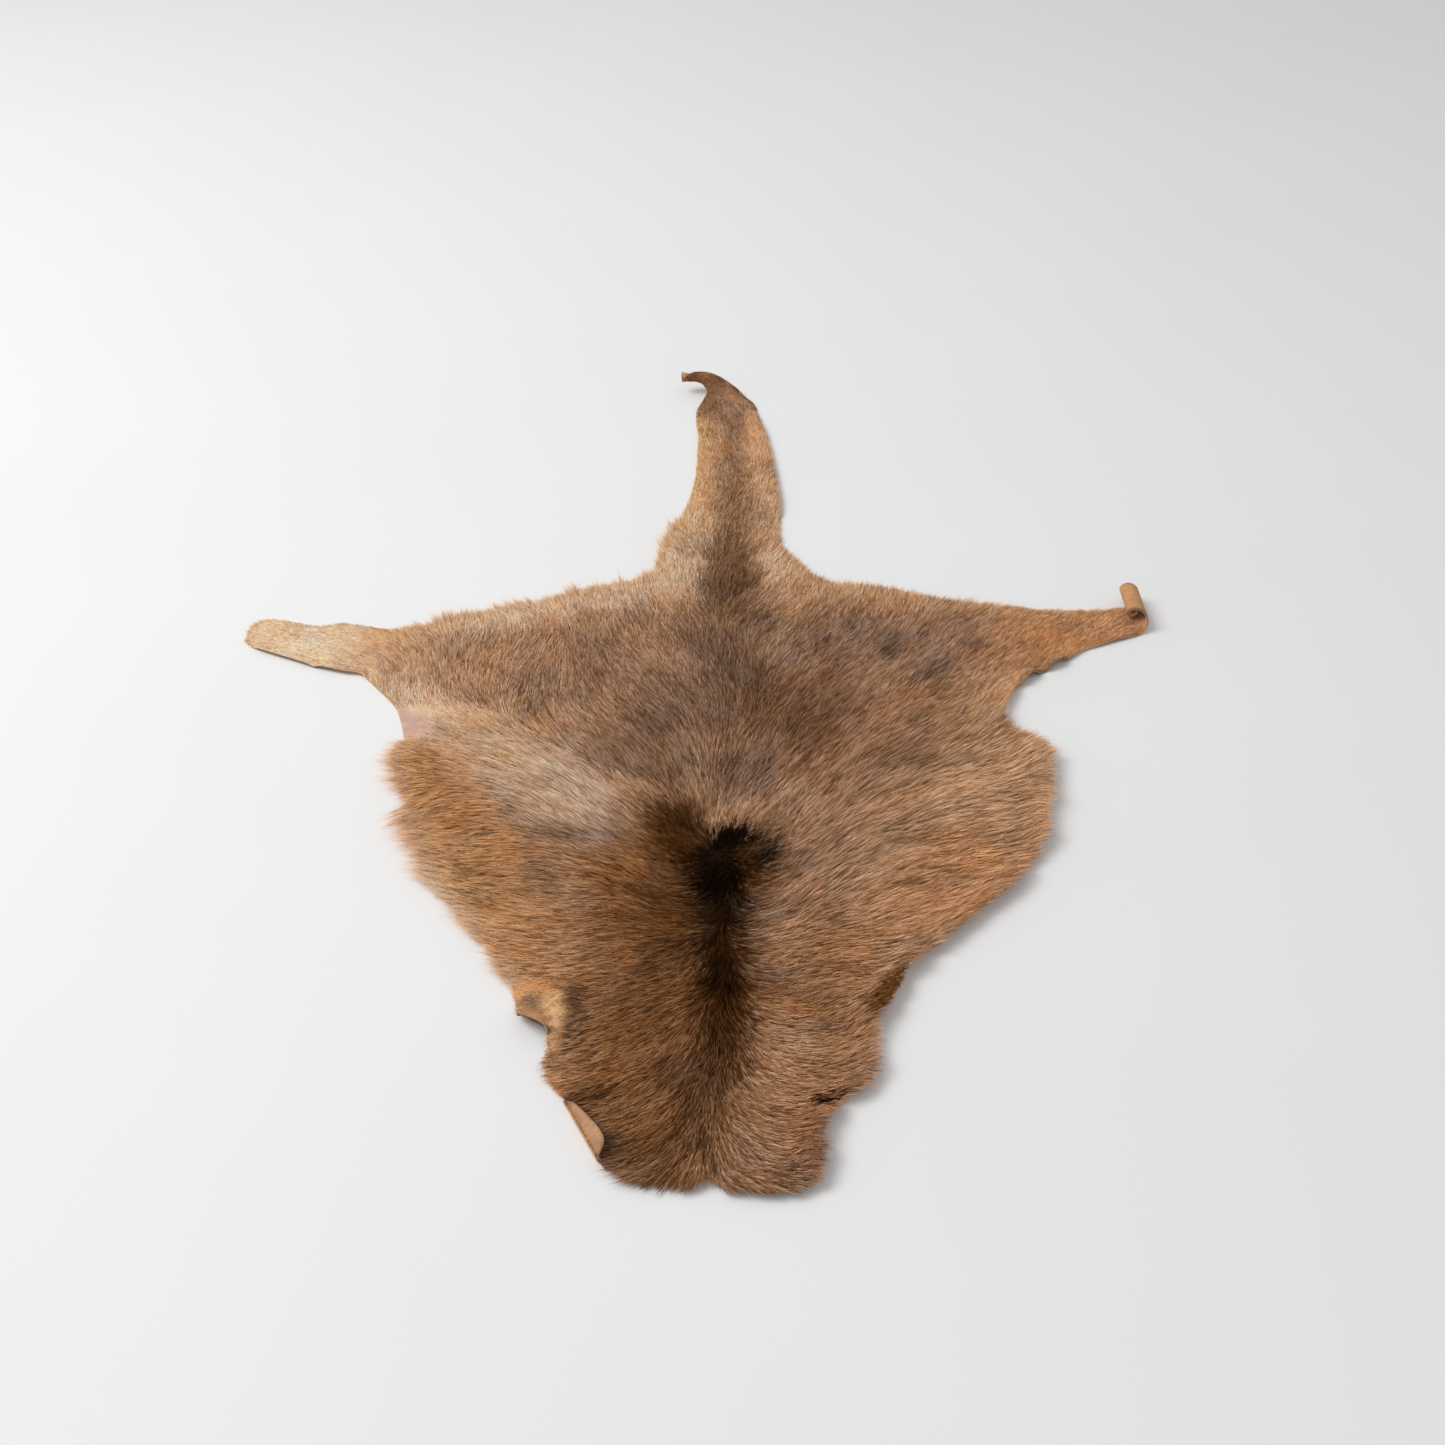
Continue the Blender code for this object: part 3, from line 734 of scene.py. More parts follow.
PELTS = rows(
    Pelt,
    ("left flank", -230, -230, 90, 22, 17, 7),
    ("left side", -160, -370, 80, 19, 16, 7),
    ("right flank", 280, -210, 100, 23, 17, 8),
    ("right side", 190, -340, 90, 20, 17, 8),
    ("whorl", 30, -280, 40, 11, 38, 24),
    ("back", 20, -140, 110, 12.5, 24, 9),
    ("shoulders", 15, -470, 90, 16, 17, 8),
    ("neck", 15, -600, 80, 14, 16, 8),
    ("rump", 30, 20, 130, 11, 26, 11),
    ("left haunch", -230, 0, 90, 10.5, 22, 9),
    ("right haunch", 260, 0, 90, 12, 22, 10),
    ("left groin", -262, -108, 36, 7, 13, 5),
    ("left leg", -430, 30, 70, 5.5, 13, 5),
    ("right leg", 420, 50, 70, 7.5, 17, 7),
    ("tail root", 30, 200, 70, 12, 20, 8),
    ("tail", 40, 400, 110, 8.5, 17, 7),
    ("tail tip", 30, 600, 60, 4.5, 12, 6),
)


class Bare(NamedTuple):
    """Short or missing fur about a point: radius, share of the hair's length and of its number left."""

    name: str
    x: Length
    y: Length
    radius: Length
    length: float
    number: float


BARES = rows(
    Bare,
    ("left groin patch", -300, -104, 20, 0.15, 0.10),
    ("left armpit patch", -136, -480, 29, 0.20, 0.20),
    ("armpit ridge end", -116, -513, 12, 0.35, 0.50),
    ("left armpit lip", -134, -500, 10, 0.20, 0.10),
    ("over the strip", -108, -566, 10, 0.35, 0.50),
    ("right shoulder strip", 175, -462, 18, 0.22, 0.60),
    ("neck tear", 110, -572, 6, 0.30, 0.10),
    ("neck tear end", 98, -577, 5, 0.30, 0.20),
    ("neck notch", 14, -652, 7, 0.45, 0.50),
)


class PaintedGlowDim(NamedTuple):
    """Where the hair at the rim gets less of its painted glow and painted rim shade: a point, a radius about
    it and the share left.
    """

    name: str
    x: Length
    y: Length
    radius: Length
    share: float


PAINTED_GLOW_DIMS = rows(
    PaintedGlowDim,
    ("tail tip", 30, 600, 80, 0.0),
    ("tail", 30, 420, 90, 0.7),
    ("left leg", -450, 30, 80, 0.5),
    ("armpit", -130, -500, 30, 0.2),
    ("left shoulder", -115, -545, 40, 0.1),
    ("strip", -80, -610, 45, 0.1),
)


class Tone(Enum):
    """Colours of coat and skin, in sRGB steps of 255."""

    CREAM = (228, 199, 164)
    BLUSH = (230, 192, 156)
    PALE_TAN = (208, 168, 130)
    SAND = (184, 142, 104)
    ASH = (164, 132, 108)
    HONEY = (230, 182, 128)
    AMBER = (196, 142, 92)
    GOLD = (174, 124, 82)
    TAN = (161, 120, 88)
    TAUPE = (140, 104, 79)
    CLAY = (132, 93, 66)
    GREY_TAUPE = (114, 85, 66)
    BROWN = (124, 81, 47)
    RUST = (142, 88, 50)
    DARK_TAUPE = (107, 75, 52)
    DEEP_BROWN = (92, 63, 42)
    SEPIA = (84, 50, 21)
    UMBER = (60, 33, 11)
    BLACK_BROWN = (14, 5, 2)
    PINK = (192, 152, 138)
    MAROON = (98, 56, 46)
    SUEDE = (204, 156, 112)

    def linear(self) -> np.ndarray:
        """The colour in linear light."""
        value = np.array(self.value) / 255.0
        return np.where(value <= 0.04045, value / 12.92, ((value + 0.055) / 1.055) ** 2.4)


class StainAndPaintedLight(NamedTuple):
    """A stretch of the flesh side in another tone, a stain of its own, painted shade, or a painted
    highlight: its ends, its width to each side and its depth.
    """

    name: str
    start: Place
    end: Place
    width: Length
    tone: Tone
    depth: float


STAINS_AND_PAINTED_LIGHT = rows(
    StainAndPaintedLight,
    # Painted shade: the flesh side under the lifted armpit lip and neck lip
    ("armpit lip", (-146, -498), (-120, -510), 12, Tone.MAROON, 1.0),
    ("neck lip", (4, -655), (98, -658), 14, Tone.UMBER, 1.0),
    # The strip's own tones
    ("strip face", (-112, -576), (-79, -635), 8, Tone.GOLD, 0.6),
    ("strip blush", (-108, -590), (-90, -622), 3, Tone.PINK, 0.3),
    # Painted highlight along the strip's fold line
    ("strip fold", (-106, -570), (-73, -632), 3, Tone.CREAM, 0.7),
    # Painted shade in the hollow between the strip and the fur
    ("strip hollow", (-112, -572), (-106, -582), 5, Tone.GREY_TAUPE, 0.7),
    # The pale flesh side inside the tail tip
    ("tail tip inside", (31, 625), (31, 650), 10, Tone.CREAM, 0.9),
    # Painted shadow in the open end of the tail tip, and painted shade along the legs' lifted near rims and
    # turned notches
    ("tail tip end", (31, 655), (40, 655), 4, Tone.UMBER, 1.0),
    ("left leg near rim", (-478, 14), (-366, -32), 6, Tone.SEPIA, 0.7),
    ("right leg notches", (345, -36), (392, -10), 8, Tone.SEPIA, 0.9),
    ("right leg near rim", (392, -6), (480, 46), 4, Tone.SEPIA, 0.8),
    # The rolled foot's own tone
    ("rolled foot", (500, 85), (560, 95), 30, Tone.AMBER, 0.6),
    # Painted shade on the rolled foot's cut edge
    ("rolled edge", (500, 54), (562, 75), 3.5, Tone.SEPIA, 0.8),
)


class Patch(NamedTuple):
    """A patch of colour: its middle, its half length and half width, the turn of its length in degrees from
    +X, its tone, how far it hides what is under it and how wide its edge fades, as a share of its size."""

    name: str
    x: Length
    y: Length
    length: Length
    width: Length
    turn: float
    tone: Tone
    strength: float
    edge: float = 1.0


PATCHES = rows(
    Patch,
    ("right flank", 290, -210, 120, 70, 90, Tone.SAND, 0.8),
    ("right flank light", 268, -225, 80, 45, 90, Tone.PALE_TAN, 0.4),
    ("right side", 220, -340, 130, 50, 45, Tone.GOLD, 0.7),
    ("left flank", -220, -240, 130, 60, 100, Tone.AMBER, 0.75),
    ("left flank rim", -285, -220, 110, 24, 102, Tone.AMBER, 0.9),
    ("left side", -170, -390, 120, 55, 122, Tone.AMBER, 0.65),
    ("left side rim", -215, -390, 110, 18, 122, Tone.BLUSH, 0.95),
    ("left haunch", -220, -10, 100, 50, 170, Tone.TAN, 0.7),
    ("left haunch far rim", -170, 102, 150, 28, 18, Tone.BLUSH, 0.9, 2),
    ("left rump", -110, 0, 80, 80, 90, Tone.TAUPE, 0.8),
    ("rump", 32, 50, 130, 55, 90, Tone.GREY_TAUPE, 1.0),
    ("back", -5, -90, 80, 60, 0, Tone.GREY_TAUPE, 0.9),
    ("right back", 170, -120, 110, 80, 30, Tone.CLAY, 0.8),
    ("right of the whorl", 110, -260, 90, 40, 70, Tone.TAUPE, 0.8),
    ("right of the back", 110, -80, 90, 45, 80, Tone.DARK_TAUPE, 0.9),
    ("right of the parting", 62, -75, 75, 22, 86, Tone.DEEP_BROWN, 0.8),
    ("right haunch", 200, 20, 120, 60, 5, Tone.TAUPE, 0.9),
    ("right haunch shade", 160, 30, 70, 45, 30, Tone.GREY_TAUPE, 0.6),
    # Painted shade where small tufts stand up on the haunch and the back
    ("haunch tuft 1", 203, 13, 16, 7, 65, Tone.DEEP_BROWN, 0.45, 1.2),
    ("haunch tuft 2", 252, -21, 18, 6, 40, Tone.DEEP_BROWN, 0.45, 1.2),
    ("haunch tuft 3", 254, -56, 14, 9, 80, Tone.DEEP_BROWN, 0.5, 1.2),
    ("haunch tuft 4", 138, -28, 24, 7, 5, Tone.DEEP_BROWN, 0.6, 1.2),
    ("haunch tuft 5", 105, -108, 14, 9, 40, Tone.DEEP_BROWN, 0.6, 1.2),
    ("left haunch shade", -120, 20, 40, 22, 120, Tone.GREY_TAUPE, 0.4, 1.6),
    ("right haunch far rim", 210, 118, 110, 18, -10, Tone.SAND, 0.8, 1.4),
    ("right groin", 312, -80, 60, 21, 60, Tone.SAND, 0.8),
    ("right flank rim", 345, -200, 80, 16, 95, Tone.PALE_TAN, 0.5, 1.2),
    ("right leg", 410, 45, 110, 50, 15, Tone.GOLD, 0.7),
    ("left leg", -430, 30, 90, 70, 170, Tone.CREAM, 1.0, 1.8),
    ("left leg root", -330, 10, 55, 60, 170, Tone.SAND, 0.8),
    ("groin", -260, -105, 100, 30, 148, Tone.BLUSH, 1.0, 1.5),
    ("groin band", -190, -150, 100, 36, 152, Tone.SAND, 0.9),
    ("pale left back", -125, -215, 70, 50, 110, Tone.ASH, 0.75),
    ("groin band light", -174, -190, 66, 34, 145, Tone.BLUSH, 0.95, 1.6),
    ("grey left back", -45, -160, 55, 35, 150, Tone.GREY_TAUPE, 0.9),
    ("over the whorl", 40, -185, 45, 36, 60, Tone.GREY_TAUPE, 1.0),
    ("lower body", -20, -510, 150, 75, 90, Tone.BROWN, 0.95),
    ("lower left", -50, -370, 70, 45, 110, Tone.BROWN, 0.8),
    ("lower right", 105, -490, 110, 44, 85, Tone.BROWN, 0.65),
    ("lower right pale", 74, -556, 50, 26, 80, Tone.TAN, 0.9, 1.5),
    ("neck right", 80, -620, 50, 35, 90, Tone.TAUPE, 0.75),
    ("neck rust", 90, -618, 28, 14, 100, Tone.RUST, 0.7, 1.6),
    ("tear rust", 100, -580, 20, 14, 20, Tone.RUST, 0.45, 1.4),
    # Painted shade in the slit of the tear
    ("tear", 104, -575, 19, 5.5, 20, Tone.BLACK_BROWN, 1.0, 0.6),
    ("shoulder strip", 170, -468, 36, 14, 57, Tone.SEPIA, 1.0, 0.5),
    ("neck left", -40, -630, 40, 30, 20, Tone.SEPIA, 0.35),
    ("neck middle", 10, -545, 70, 30, 90, Tone.DEEP_BROWN, 0.5),
    # Painted shade: the hair at the neck rim in its own shade, and the shadow under the lifted lip
    ("neck lip", 72, -661, 34, 4, 0, Tone.UMBER, 0.9),
    ("neck edge", -20, -656, 50, 5, 0, Tone.UMBER, 0.6),
    ("halo", -42, -320, 80, 45, 70, Tone.BROWN, 0.9),
    ("halo top", -20, -262, 46, 28, 105, Tone.SEPIA, 0.95),
    ("halo top dark", -14, -262, 30, 18, 105, Tone.UMBER, 0.6),
    ("halo foot", 8, -370, 70, 50, 90, Tone.SEPIA, 0.7),
    ("halo right", 60, -305, 55, 30, 90, Tone.DEEP_BROWN, 0.8),
    ("stripe right", 46, -435, 85, 20, 88, Tone.DEEP_BROWN, 0.7),
    ("stripe", 26, -440, 110, 22, 90, Tone.UMBER, 0.95),
    ("stripe dark", 22, -442, 36, 17, 90, Tone.BLACK_BROWN, 0.75),
    ("stripe core", 24, -358, 44, 30, 90, Tone.BLACK_BROWN, 0.7, 0.7),
    ("black patch", 22, -316, 40, 36, 80, Tone.BLACK_BROWN, 0.95, 0.5),
    ("black patch cap", 34, -275, 25, 18, 0, Tone.BLACK_BROWN, 1.0, 0.4),
    ("black patch arm", 63, -302, 24, 11, 80, Tone.BLACK_BROWN, 0.9, 0.7),
    ("black patch foot", -12, -306, 14, 12, 0, Tone.UMBER, 0.9, 0.7),
    ("rust by the black patch", 60, -334, 14, 10, 60, Tone.SEPIA, 0.8, 0.8),
    ("brown tuft by the whorl", 45, -300, 16, 6, 75, Tone.SEPIA, 0.7, 0.9),
    ("parting", 32, -90, 110, 4, 88, Tone.DEEP_BROWN, 0.6),
    ("tail", 30, 380, 240, 120, 90, Tone.SAND, 1.0),
    ("tail left rim", -20, 350, 200, 14, 95, Tone.PALE_TAN, 0.7),
    ("tail band", 36, 330, 220, 24, 90, Tone.DARK_TAUPE, 0.75),
    ("tail root band", 36, 150, 90, 34, 90, Tone.DARK_TAUPE, 0.95),
    ("tail root right", 95, 175, 30, 22, 120, Tone.PALE_TAN, 0.9),
    ("tail root left", -46, 176, 56, 32, 100, Tone.BLUSH, 0.85, 1.3),
    ("tail tip fade", 34, 515, 50, 60, 90, Tone.TAN, 0.5, 2),
    ("tail tip", 24, 580, 60, 50, 80, Tone.GREY_TAUPE, 0.85, 1.8),
    ("tail tip right", 47, 578, 50, 14, 105, Tone.TAN, 0.5, 1.4),
    ("tail tip left", 4, 562, 34, 16, 90, Tone.DEEP_BROWN, 0.7, 1.5),
    ("tail bend", 33, 625, 50, 50, 90, Tone.BROWN, 0.75),
    ("tail bend left", 10, 600, 30, 18, 70, Tone.DEEP_BROWN, 0.75),
    # Partly the curled right rim's darker underside and partly painted shade along it
    ("tail bend right rim", 58, 590, 46, 4, 112, Tone.UMBER, 0.8),
    # Painted shadow in the open end of the tail tip
    ("tail tip end", 31, 653, 20, 2.5, 0, Tone.UMBER, 0.7, 0.8),
    ("rolled foot inside", 540, 90, 30, 40, 0, Tone.CREAM, 0.9),
    ("groin skin", -300, -104, 28, 14, 150, Tone.PINK, 1.0),
    ("armpit", -138, -478, 36, 28, 90, Tone.AMBER, 0.7),
    ("armpit spot", -137, -471, 10, 8, 90, Tone.GREY_TAUPE, 0.9, 1.4),
    ("armpit shade", -122, -500, 14, 8, 110, Tone.GREY_TAUPE, 0.2, 1.4),
    # The ridge is partly its own pale tan and partly a painted highlight on the raised fold; behind it
    # darker fur and painted shade in the hollow
    ("armpit ridge", -114, -493, 30, 6, 103, Tone.HONEY, 0.8, 1.2),
    ("behind the ridge", -98, -488, 34, 9, 103, Tone.DEEP_BROWN, 0.8, 1.2),
    ("over the strip", -108, -565, 26, 7, 125, Tone.GOLD, 0.9, 1.0),
    # Painted shadow in the pit by the strip's top, and painted shade that the turned-up strip casts on the
    # fur
    ("strip pit", -84, -568, 20, 9, 20, Tone.UMBER, 0.95, 1.2),
    ("strip shade", -82, -590, 36, 7, 118, Tone.UMBER, 0.7, 1.2),
)


@dataclass(frozen=True)
class Coat:
    """What the fur is like at each point of the flat hide."""

    way_reach: float = 0.036
    pelt_fade: float = 2.0
    # What a row counts for at any distance, so that every point has a way and a fur
    far_way: float = 1e-5
    far_pelt: float = 1e-9
    far_area: float = 1e-4
    # A bare spot is gone at this many radii
    bare_fade: float = 1.8
    wander: Pair = (7.0, 7.0)
    wander_cells: Pair = (0.050, 0.018)
    # Streaks, partly the hair's own tones and partly painted shade and highlight between locks: how light or
    # dark, how wide, and how long against the hair
    streaks: Triple = (0.52, 0.20, 0.12)
    streak_cells: Triple = (0.0013, 0.0034, 0.012)
    streak_lengths: Triple = (0.60, 1.0, 1.1)
    # Painted shade: thin dark lines where the hair parts, how sharply they break off and how much of them is
    # left
    painted_parting_shade: float = 0.85
    parting_cell: float = 0.0046
    parting_width: float = 0.11
    parting_length: float = 0.9
    parting_gaps: float = 0.012
    parting_breaks: Pair = (1.8, 0.25)
    # Soft grey spots where the underfur shows, how wide their grain spreads and how sharp they are
    mottle: Triple = (0.38, 0.36, 0.30)
    mottle_cells: Triple = (0.034, 0.013, 0.0055)
    mottle_spread: float = 1.6
    mottle_edge: float = 1.4
    # How much lighter than the coat a hair is to be, as hairs shade each other, and the lightest it gets
    gain: Triple = (1.98, 2.00, 1.99)
    lightest: float = 0.95
    limit_power: float = 4.0
    softening: Triple = (1.0, 0.90, 0.80)
    # How the colour changes with the shade: light hairs are paler, as a painted sheen, and dark ones redder
    paling: Triple = (1.0, 1.38, 1.80)
    reddening: Triple = (1.0, 1.20, 1.46)
    shade_range: Pair = (-0.9, 0.40)
    warmth: Pair = (0.03, 0.05)
    warmth_cells: Pair = (0.009, 0.032)
    warm_tint: Triple = (1.0, 0.0, -1.6)
    # How far the patches' edges sway
    ragged: Pair = (0.004, 0.005)
    ragged_cells: Pair = (0.022, 0.0065)

    def headings(self, points: np.ndarray) -> np.ndarray:
        """The ways of the hair at flat points, in radians from +X.

        Args:
            points: Flat points, one a row.

        Returns:
            The heading at each point.
        """
        total = np.zeros((len(points), 2))
        for row in WAYS:
            away = ((points - (row.x, row.y)) ** 2).sum(axis=1)
            weight = np.exp(-away / self.way_reach**2) + self.far_way / (away + self.way_reach**2)
            turn = math.radians(row.heading)
            total += weight[:, None] * (math.cos(turn), math.sin(turn))
        heading = np.arctan2(total[:, 1], total[:, 0])
        for seed, (degrees, cell) in enumerate(zip(self.wander, self.wander_cells)):
            heading += math.radians(degrees) * Grain(cell, Seed.WANDER + seed).at(points)
        return heading

    def fur(self, points: np.ndarray) -> tuple[np.ndarray, np.ndarray, np.ndarray, np.ndarray]:
        """What the hair is like at flat points.

        Args:
            points: Flat points, one a row.

        Returns:
            The hair's length, its lean and unrest, in radians, and the share of hairs left at each point.
        """
        length, lean, unrest = np.zeros((3, len(points)))
        weights = np.full(len(points), self.far_pelt)
        for row in PELTS:
            away = ((points - (row.x, row.y)) ** 2).sum(axis=1)
            weight = np.exp(-self.pelt_fade * away / row.radius**2) / row.radius
            weight += self.far_pelt / (away + self.far_area)
            length += row.length * weight
            lean += row.lean * weight
            unrest += row.unrest * weight
            weights += weight
        length, lean, unrest = length / weights, np.radians(lean / weights), np.radians(unrest / weights)
        number = np.ones(len(points))
        for row in BARES:
            away = np.hypot(*(points - (row.x, row.y)).T) / row.radius
            there = soft(self.bare_fade - away)
            length *= 1.0 - there * (1.0 - row.length)
            number *= 1.0 - there * (1.0 - row.number)
        return length, lean, unrest, number

    def colours(self, points: np.ndarray) -> np.ndarray:
        """The coat's colour in linear light at flat points.

        Args:
            points: Flat points, one a row.

        Returns:
            The colour at each point.
        """
        sway = np.zeros_like(points)
        for seed, (reach, cell) in enumerate(zip(self.ragged, self.ragged_cells)):
            for axis in (0, 1):
                sway[:, axis] += reach * Grain(cell, Seed.RAGGED + 2 * seed + axis).at(points)
        points = points + sway
        colour = np.tile(Tone.TAN.linear(), (len(points), 1))
        for row in PATCHES:
            turn = math.radians(row.turn)
            away = points - (row.x, row.y)
            along = away @ (math.cos(turn), math.sin(turn)) / row.length
            across = away @ (-math.sin(turn), math.cos(turn)) / row.width
            share = row.strength * soft(0.5 + (1.0 - np.hypot(along, across)) / row.edge)
            colour += (row.tone.linear() - colour) * share[:, None]
        for seed, (depth, cell) in enumerate(zip(self.warmth, self.warmth_cells)):
            warm = depth * Grain(cell, Seed.WARMTH + seed).at(points)
            colour *= 1.0 + warm[:, None] * self.warm_tint
        grains = [Grain(cell, Seed.MOTTLE + seed) for seed, cell in enumerate(self.mottle_cells)]
        spots = sum(grain.at(points) for grain in grains) / self.mottle_spread
        return colour * (1.0 - soft(spots * self.mottle_edge)[:, None] * self.mottle)

    def streaked(self, points: np.ndarray, headings: np.ndarray, length: np.ndarray) -> np.ndarray:
        """How light or dark the coat's streaks and partings make it at flat points, partly as painted shade
        and highlight.

        Args:
            points: Flat points, one a row.
            headings: The way of the hair there.
            length: The length of the hair there.

        Returns:
            The shade at each point, about 0 and below 0 where it is dark.
        """
        kinds = zip(self.streaks, self.streak_cells, self.streak_lengths)
        shade = sum(
            depth * Grain(cell, Seed.STREAKS + seed).along(points, headings, length * share)
            for seed, (depth, cell, share) in enumerate(kinds)
        )
        lines = Grain(self.parting_cell, Seed.PARTINGS).along(points, headings, length * self.parting_length)
        sharpness, middle = self.parting_breaks
        gaps = Grain(self.parting_gaps, Seed.PARTING_GAPS).at(points)
        broken = np.clip(gaps * sharpness + middle, 0.0, 1.0)
        return shade - self.painted_parting_shade * np.exp(-((lines / self.parting_width) ** 2)) * broken

    def dyed(self, colours: np.ndarray, shade: np.ndarray) -> np.ndarray:
        """The coat's own colours made lighter or darker by a shade that is partly painted light, with a soft
        limit to how light they get.

        Args:
            colours: The coat's colours in linear light.
            shade: How light or dark each is to be, 0 for neither.

        Returns:
            The colours of the hair.
        """
        shade = np.clip(shade, *self.shade_range)[:, None]
        colours = colours * self.gain * np.exp(shade * np.where(shade > 0.0, self.paling, self.reddening))
        held = (1.0 + (colours[:, :1] / self.lightest) ** self.limit_power) ** (-1.0 / self.limit_power)
        return colours * held**self.softening


class Shader:
    """Adds and joins the nodes of one material or group."""

    def __init__(self, tree: bpy.types.NodeTree) -> None:
        """Takes the tree that the nodes go in."""
        self.tree = tree

    def join(self, source: bpy.types.NodeSocket, target: bpy.types.NodeSocket) -> None:
        """Links an output to an input."""
        self.tree.links.new(source, target)

    def feed(self, socket: bpy.types.NodeSocket, value: object) -> None:
        """Gives an input a value, or links an output to it.

        Args:
            socket: The input.
            value: A value or an output.
        """
        if isinstance(value, bpy.types.NodeSocket):
            self.join(value, socket)
        else:
            socket.default_value = value

    def put(self, node: bpy.types.Node, **given: object) -> bpy.types.Node:
        """Gives a node its settings and inputs.

        Args:
            node: The node.
            given: Settings by their names. Inputs by theirs, which start with a capital letter, with
                underscores for spaces.

        Returns:
            The node.
        """
        for name, value in given.items():
            if name[0].isupper():
                self.feed(node.inputs[name.replace("_", " ")], value)
            else:
                setattr(node, name, value)
        return node

    def add(self, kind: str, **given: object) -> bpy.types.Node:
        """A new node of a kind that Blender names, with what `put` gives it."""
        return self.put(self.tree.nodes.new(kind), **given)

    def math(self, operation: str, first: object, second: object) -> bpy.types.NodeSocket:
        """The result of a sum.

        Args:
            operation: Blender's name of the sum.
            first: A value or an output.
            second: Another one.

        Returns:
            The output with the result.
        """
        node = self.add("ShaderNodeMath", operation=operation)
        for socket, value in zip(node.inputs, (first, second)):
            self.feed(socket, value)
        return node.outputs["Value"]

    def noise(self, vector: object, scale: object, detail: float) -> bpy.types.NodeSocket:
        """The value of a noise on given coordinates."""
        return self.add("ShaderNodeTexNoise", Vector=vector, Scale=scale, Detail=detail).outputs["Fac"]

    def range(self, value: object, start: Pair, end: Pair) -> bpy.types.NodeSocket:
        """A value brought from one range to another."""
        ends = {"From_Min": start[0], "From_Max": start[1], "To_Min": end[0], "To_Max": end[1]}
        return self.add("ShaderNodeMapRange", Value=value, **ends).outputs["Result"]

    def attribute(self, name: str, output: str = "Fac") -> bpy.types.NodeSocket:
        """What a mesh stores under a name."""
        return self.add("ShaderNodeAttribute", attribute_name=name).outputs[output]

    def place(self) -> bpy.types.NodeSocket:
        """Object coordinates."""
        return self.add("ShaderNodeTexCoord").outputs["Object"]

    def bump(self, height: object, strength: float, distance: float) -> bpy.types.NodeSocket:
        """The normal of an uneven surface."""
        node = self.add("ShaderNodeBump", Strength=strength, Distance=distance, Height=height)
        return node.outputs["Normal"]

    def scale_colour(self, colour: object, factor: object) -> bpy.types.NodeSocket:
        """A colour times a grey factor."""
        node = self.add("ShaderNodeVectorMath", operation="SCALE", Vector=colour, Scale=factor)
        return node.outputs["Vector"]

    def mix(self, factor: object, first: object, second: object) -> bpy.types.NodeSocket:
        """A mix of two colours.

        Args:
            factor: The share of the second colour.
            first: A colour or an output.
            second: Another one.

        Returns:
            The output with the mixed colour.
        """
        node = self.add("ShaderNodeMix", data_type="RGBA", Factor=factor)
        colours = [socket for socket in node.inputs if socket.type == "RGBA"]
        for socket, value in zip(colours, (first, second)):
            self.feed(socket, value)
        return next(socket for socket in node.outputs if socket.type == "RGBA")


def new_material(name: str) -> tuple[bpy.types.Material, Shader, bpy.types.Node]:
    """A new material with nodes.

    Args:
        name: The material's name.

    Returns:
        The material, what adds its nodes, and its Principled shader.
    """
    material = bpy.data.materials.new(name)
    material.use_nodes = True
    shader = Shader(material.node_tree)
    return material, shader, material.node_tree.nodes["Principled BSDF"]


@dataclass(frozen=True)
class SkinGrain:
    """The fine and broad unevenness of bare skin and short underfur, one group for every finish."""

    name: str = "skin_grain"
    fine: Pair = (0.87, 1.13)
    fine_detail: float = 3.0
    broad: Pair = (0.92, 1.08)
    broad_detail: float = 4.0

    def group(self) -> bpy.types.NodeTree:
        """The node group, made the first time.

        Returns:
            A group with the inputs Vector, Fine Scale and Broad Scale and the outputs Shade, Fine and Broad.
        """
        if self.name in bpy.data.node_groups:
            return bpy.data.node_groups[self.name]
        tree = bpy.data.node_groups.new(self.name, "ShaderNodeTree")
        tree.interface.new_socket("Vector", in_out="INPUT", socket_type="NodeSocketVector")
        for name in ("Fine Scale", "Broad Scale"):
            tree.interface.new_socket(name, in_out="INPUT", socket_type="NodeSocketFloat")
        for name in ("Shade", "Fine", "Broad"):
            tree.interface.new_socket(name, in_out="OUTPUT", socket_type="NodeSocketFloat")
        shader = Shader(tree)
        given = shader.add("NodeGroupInput").outputs
        result = shader.add("NodeGroupOutput").inputs
        fine = shader.noise(given["Vector"], given["Fine Scale"], self.fine_detail)
        broad = shader.noise(given["Vector"], given["Broad Scale"], self.broad_detail)
        fine_shade = shader.range(fine, NOISE_SPAN, self.fine)
        broad_shade = shader.range(broad, NOISE_SPAN, self.broad)
        shader.join(shader.math("MULTIPLY", fine_shade, broad_shade), result["Shade"])
        shader.join(fine, result["Fine"])
        shader.join(broad, result["Broad"])
        return tree

    def placed(self, shader: Shader, scales: Pair) -> bpy.types.NodeOutputs:
        """The group in a material, on object coordinates.

        Args:
            shader: The material's nodes.
            scales: Scales of the fine and of the broad grain.

        Returns:
            The outputs of the group.
        """
        ends = {"Vector": shader.place(), "Fine_Scale": scales[0], "Broad_Scale": scales[1]}
        return shader.add("ShaderNodeGroup", node_tree=self.group(), **ends).outputs


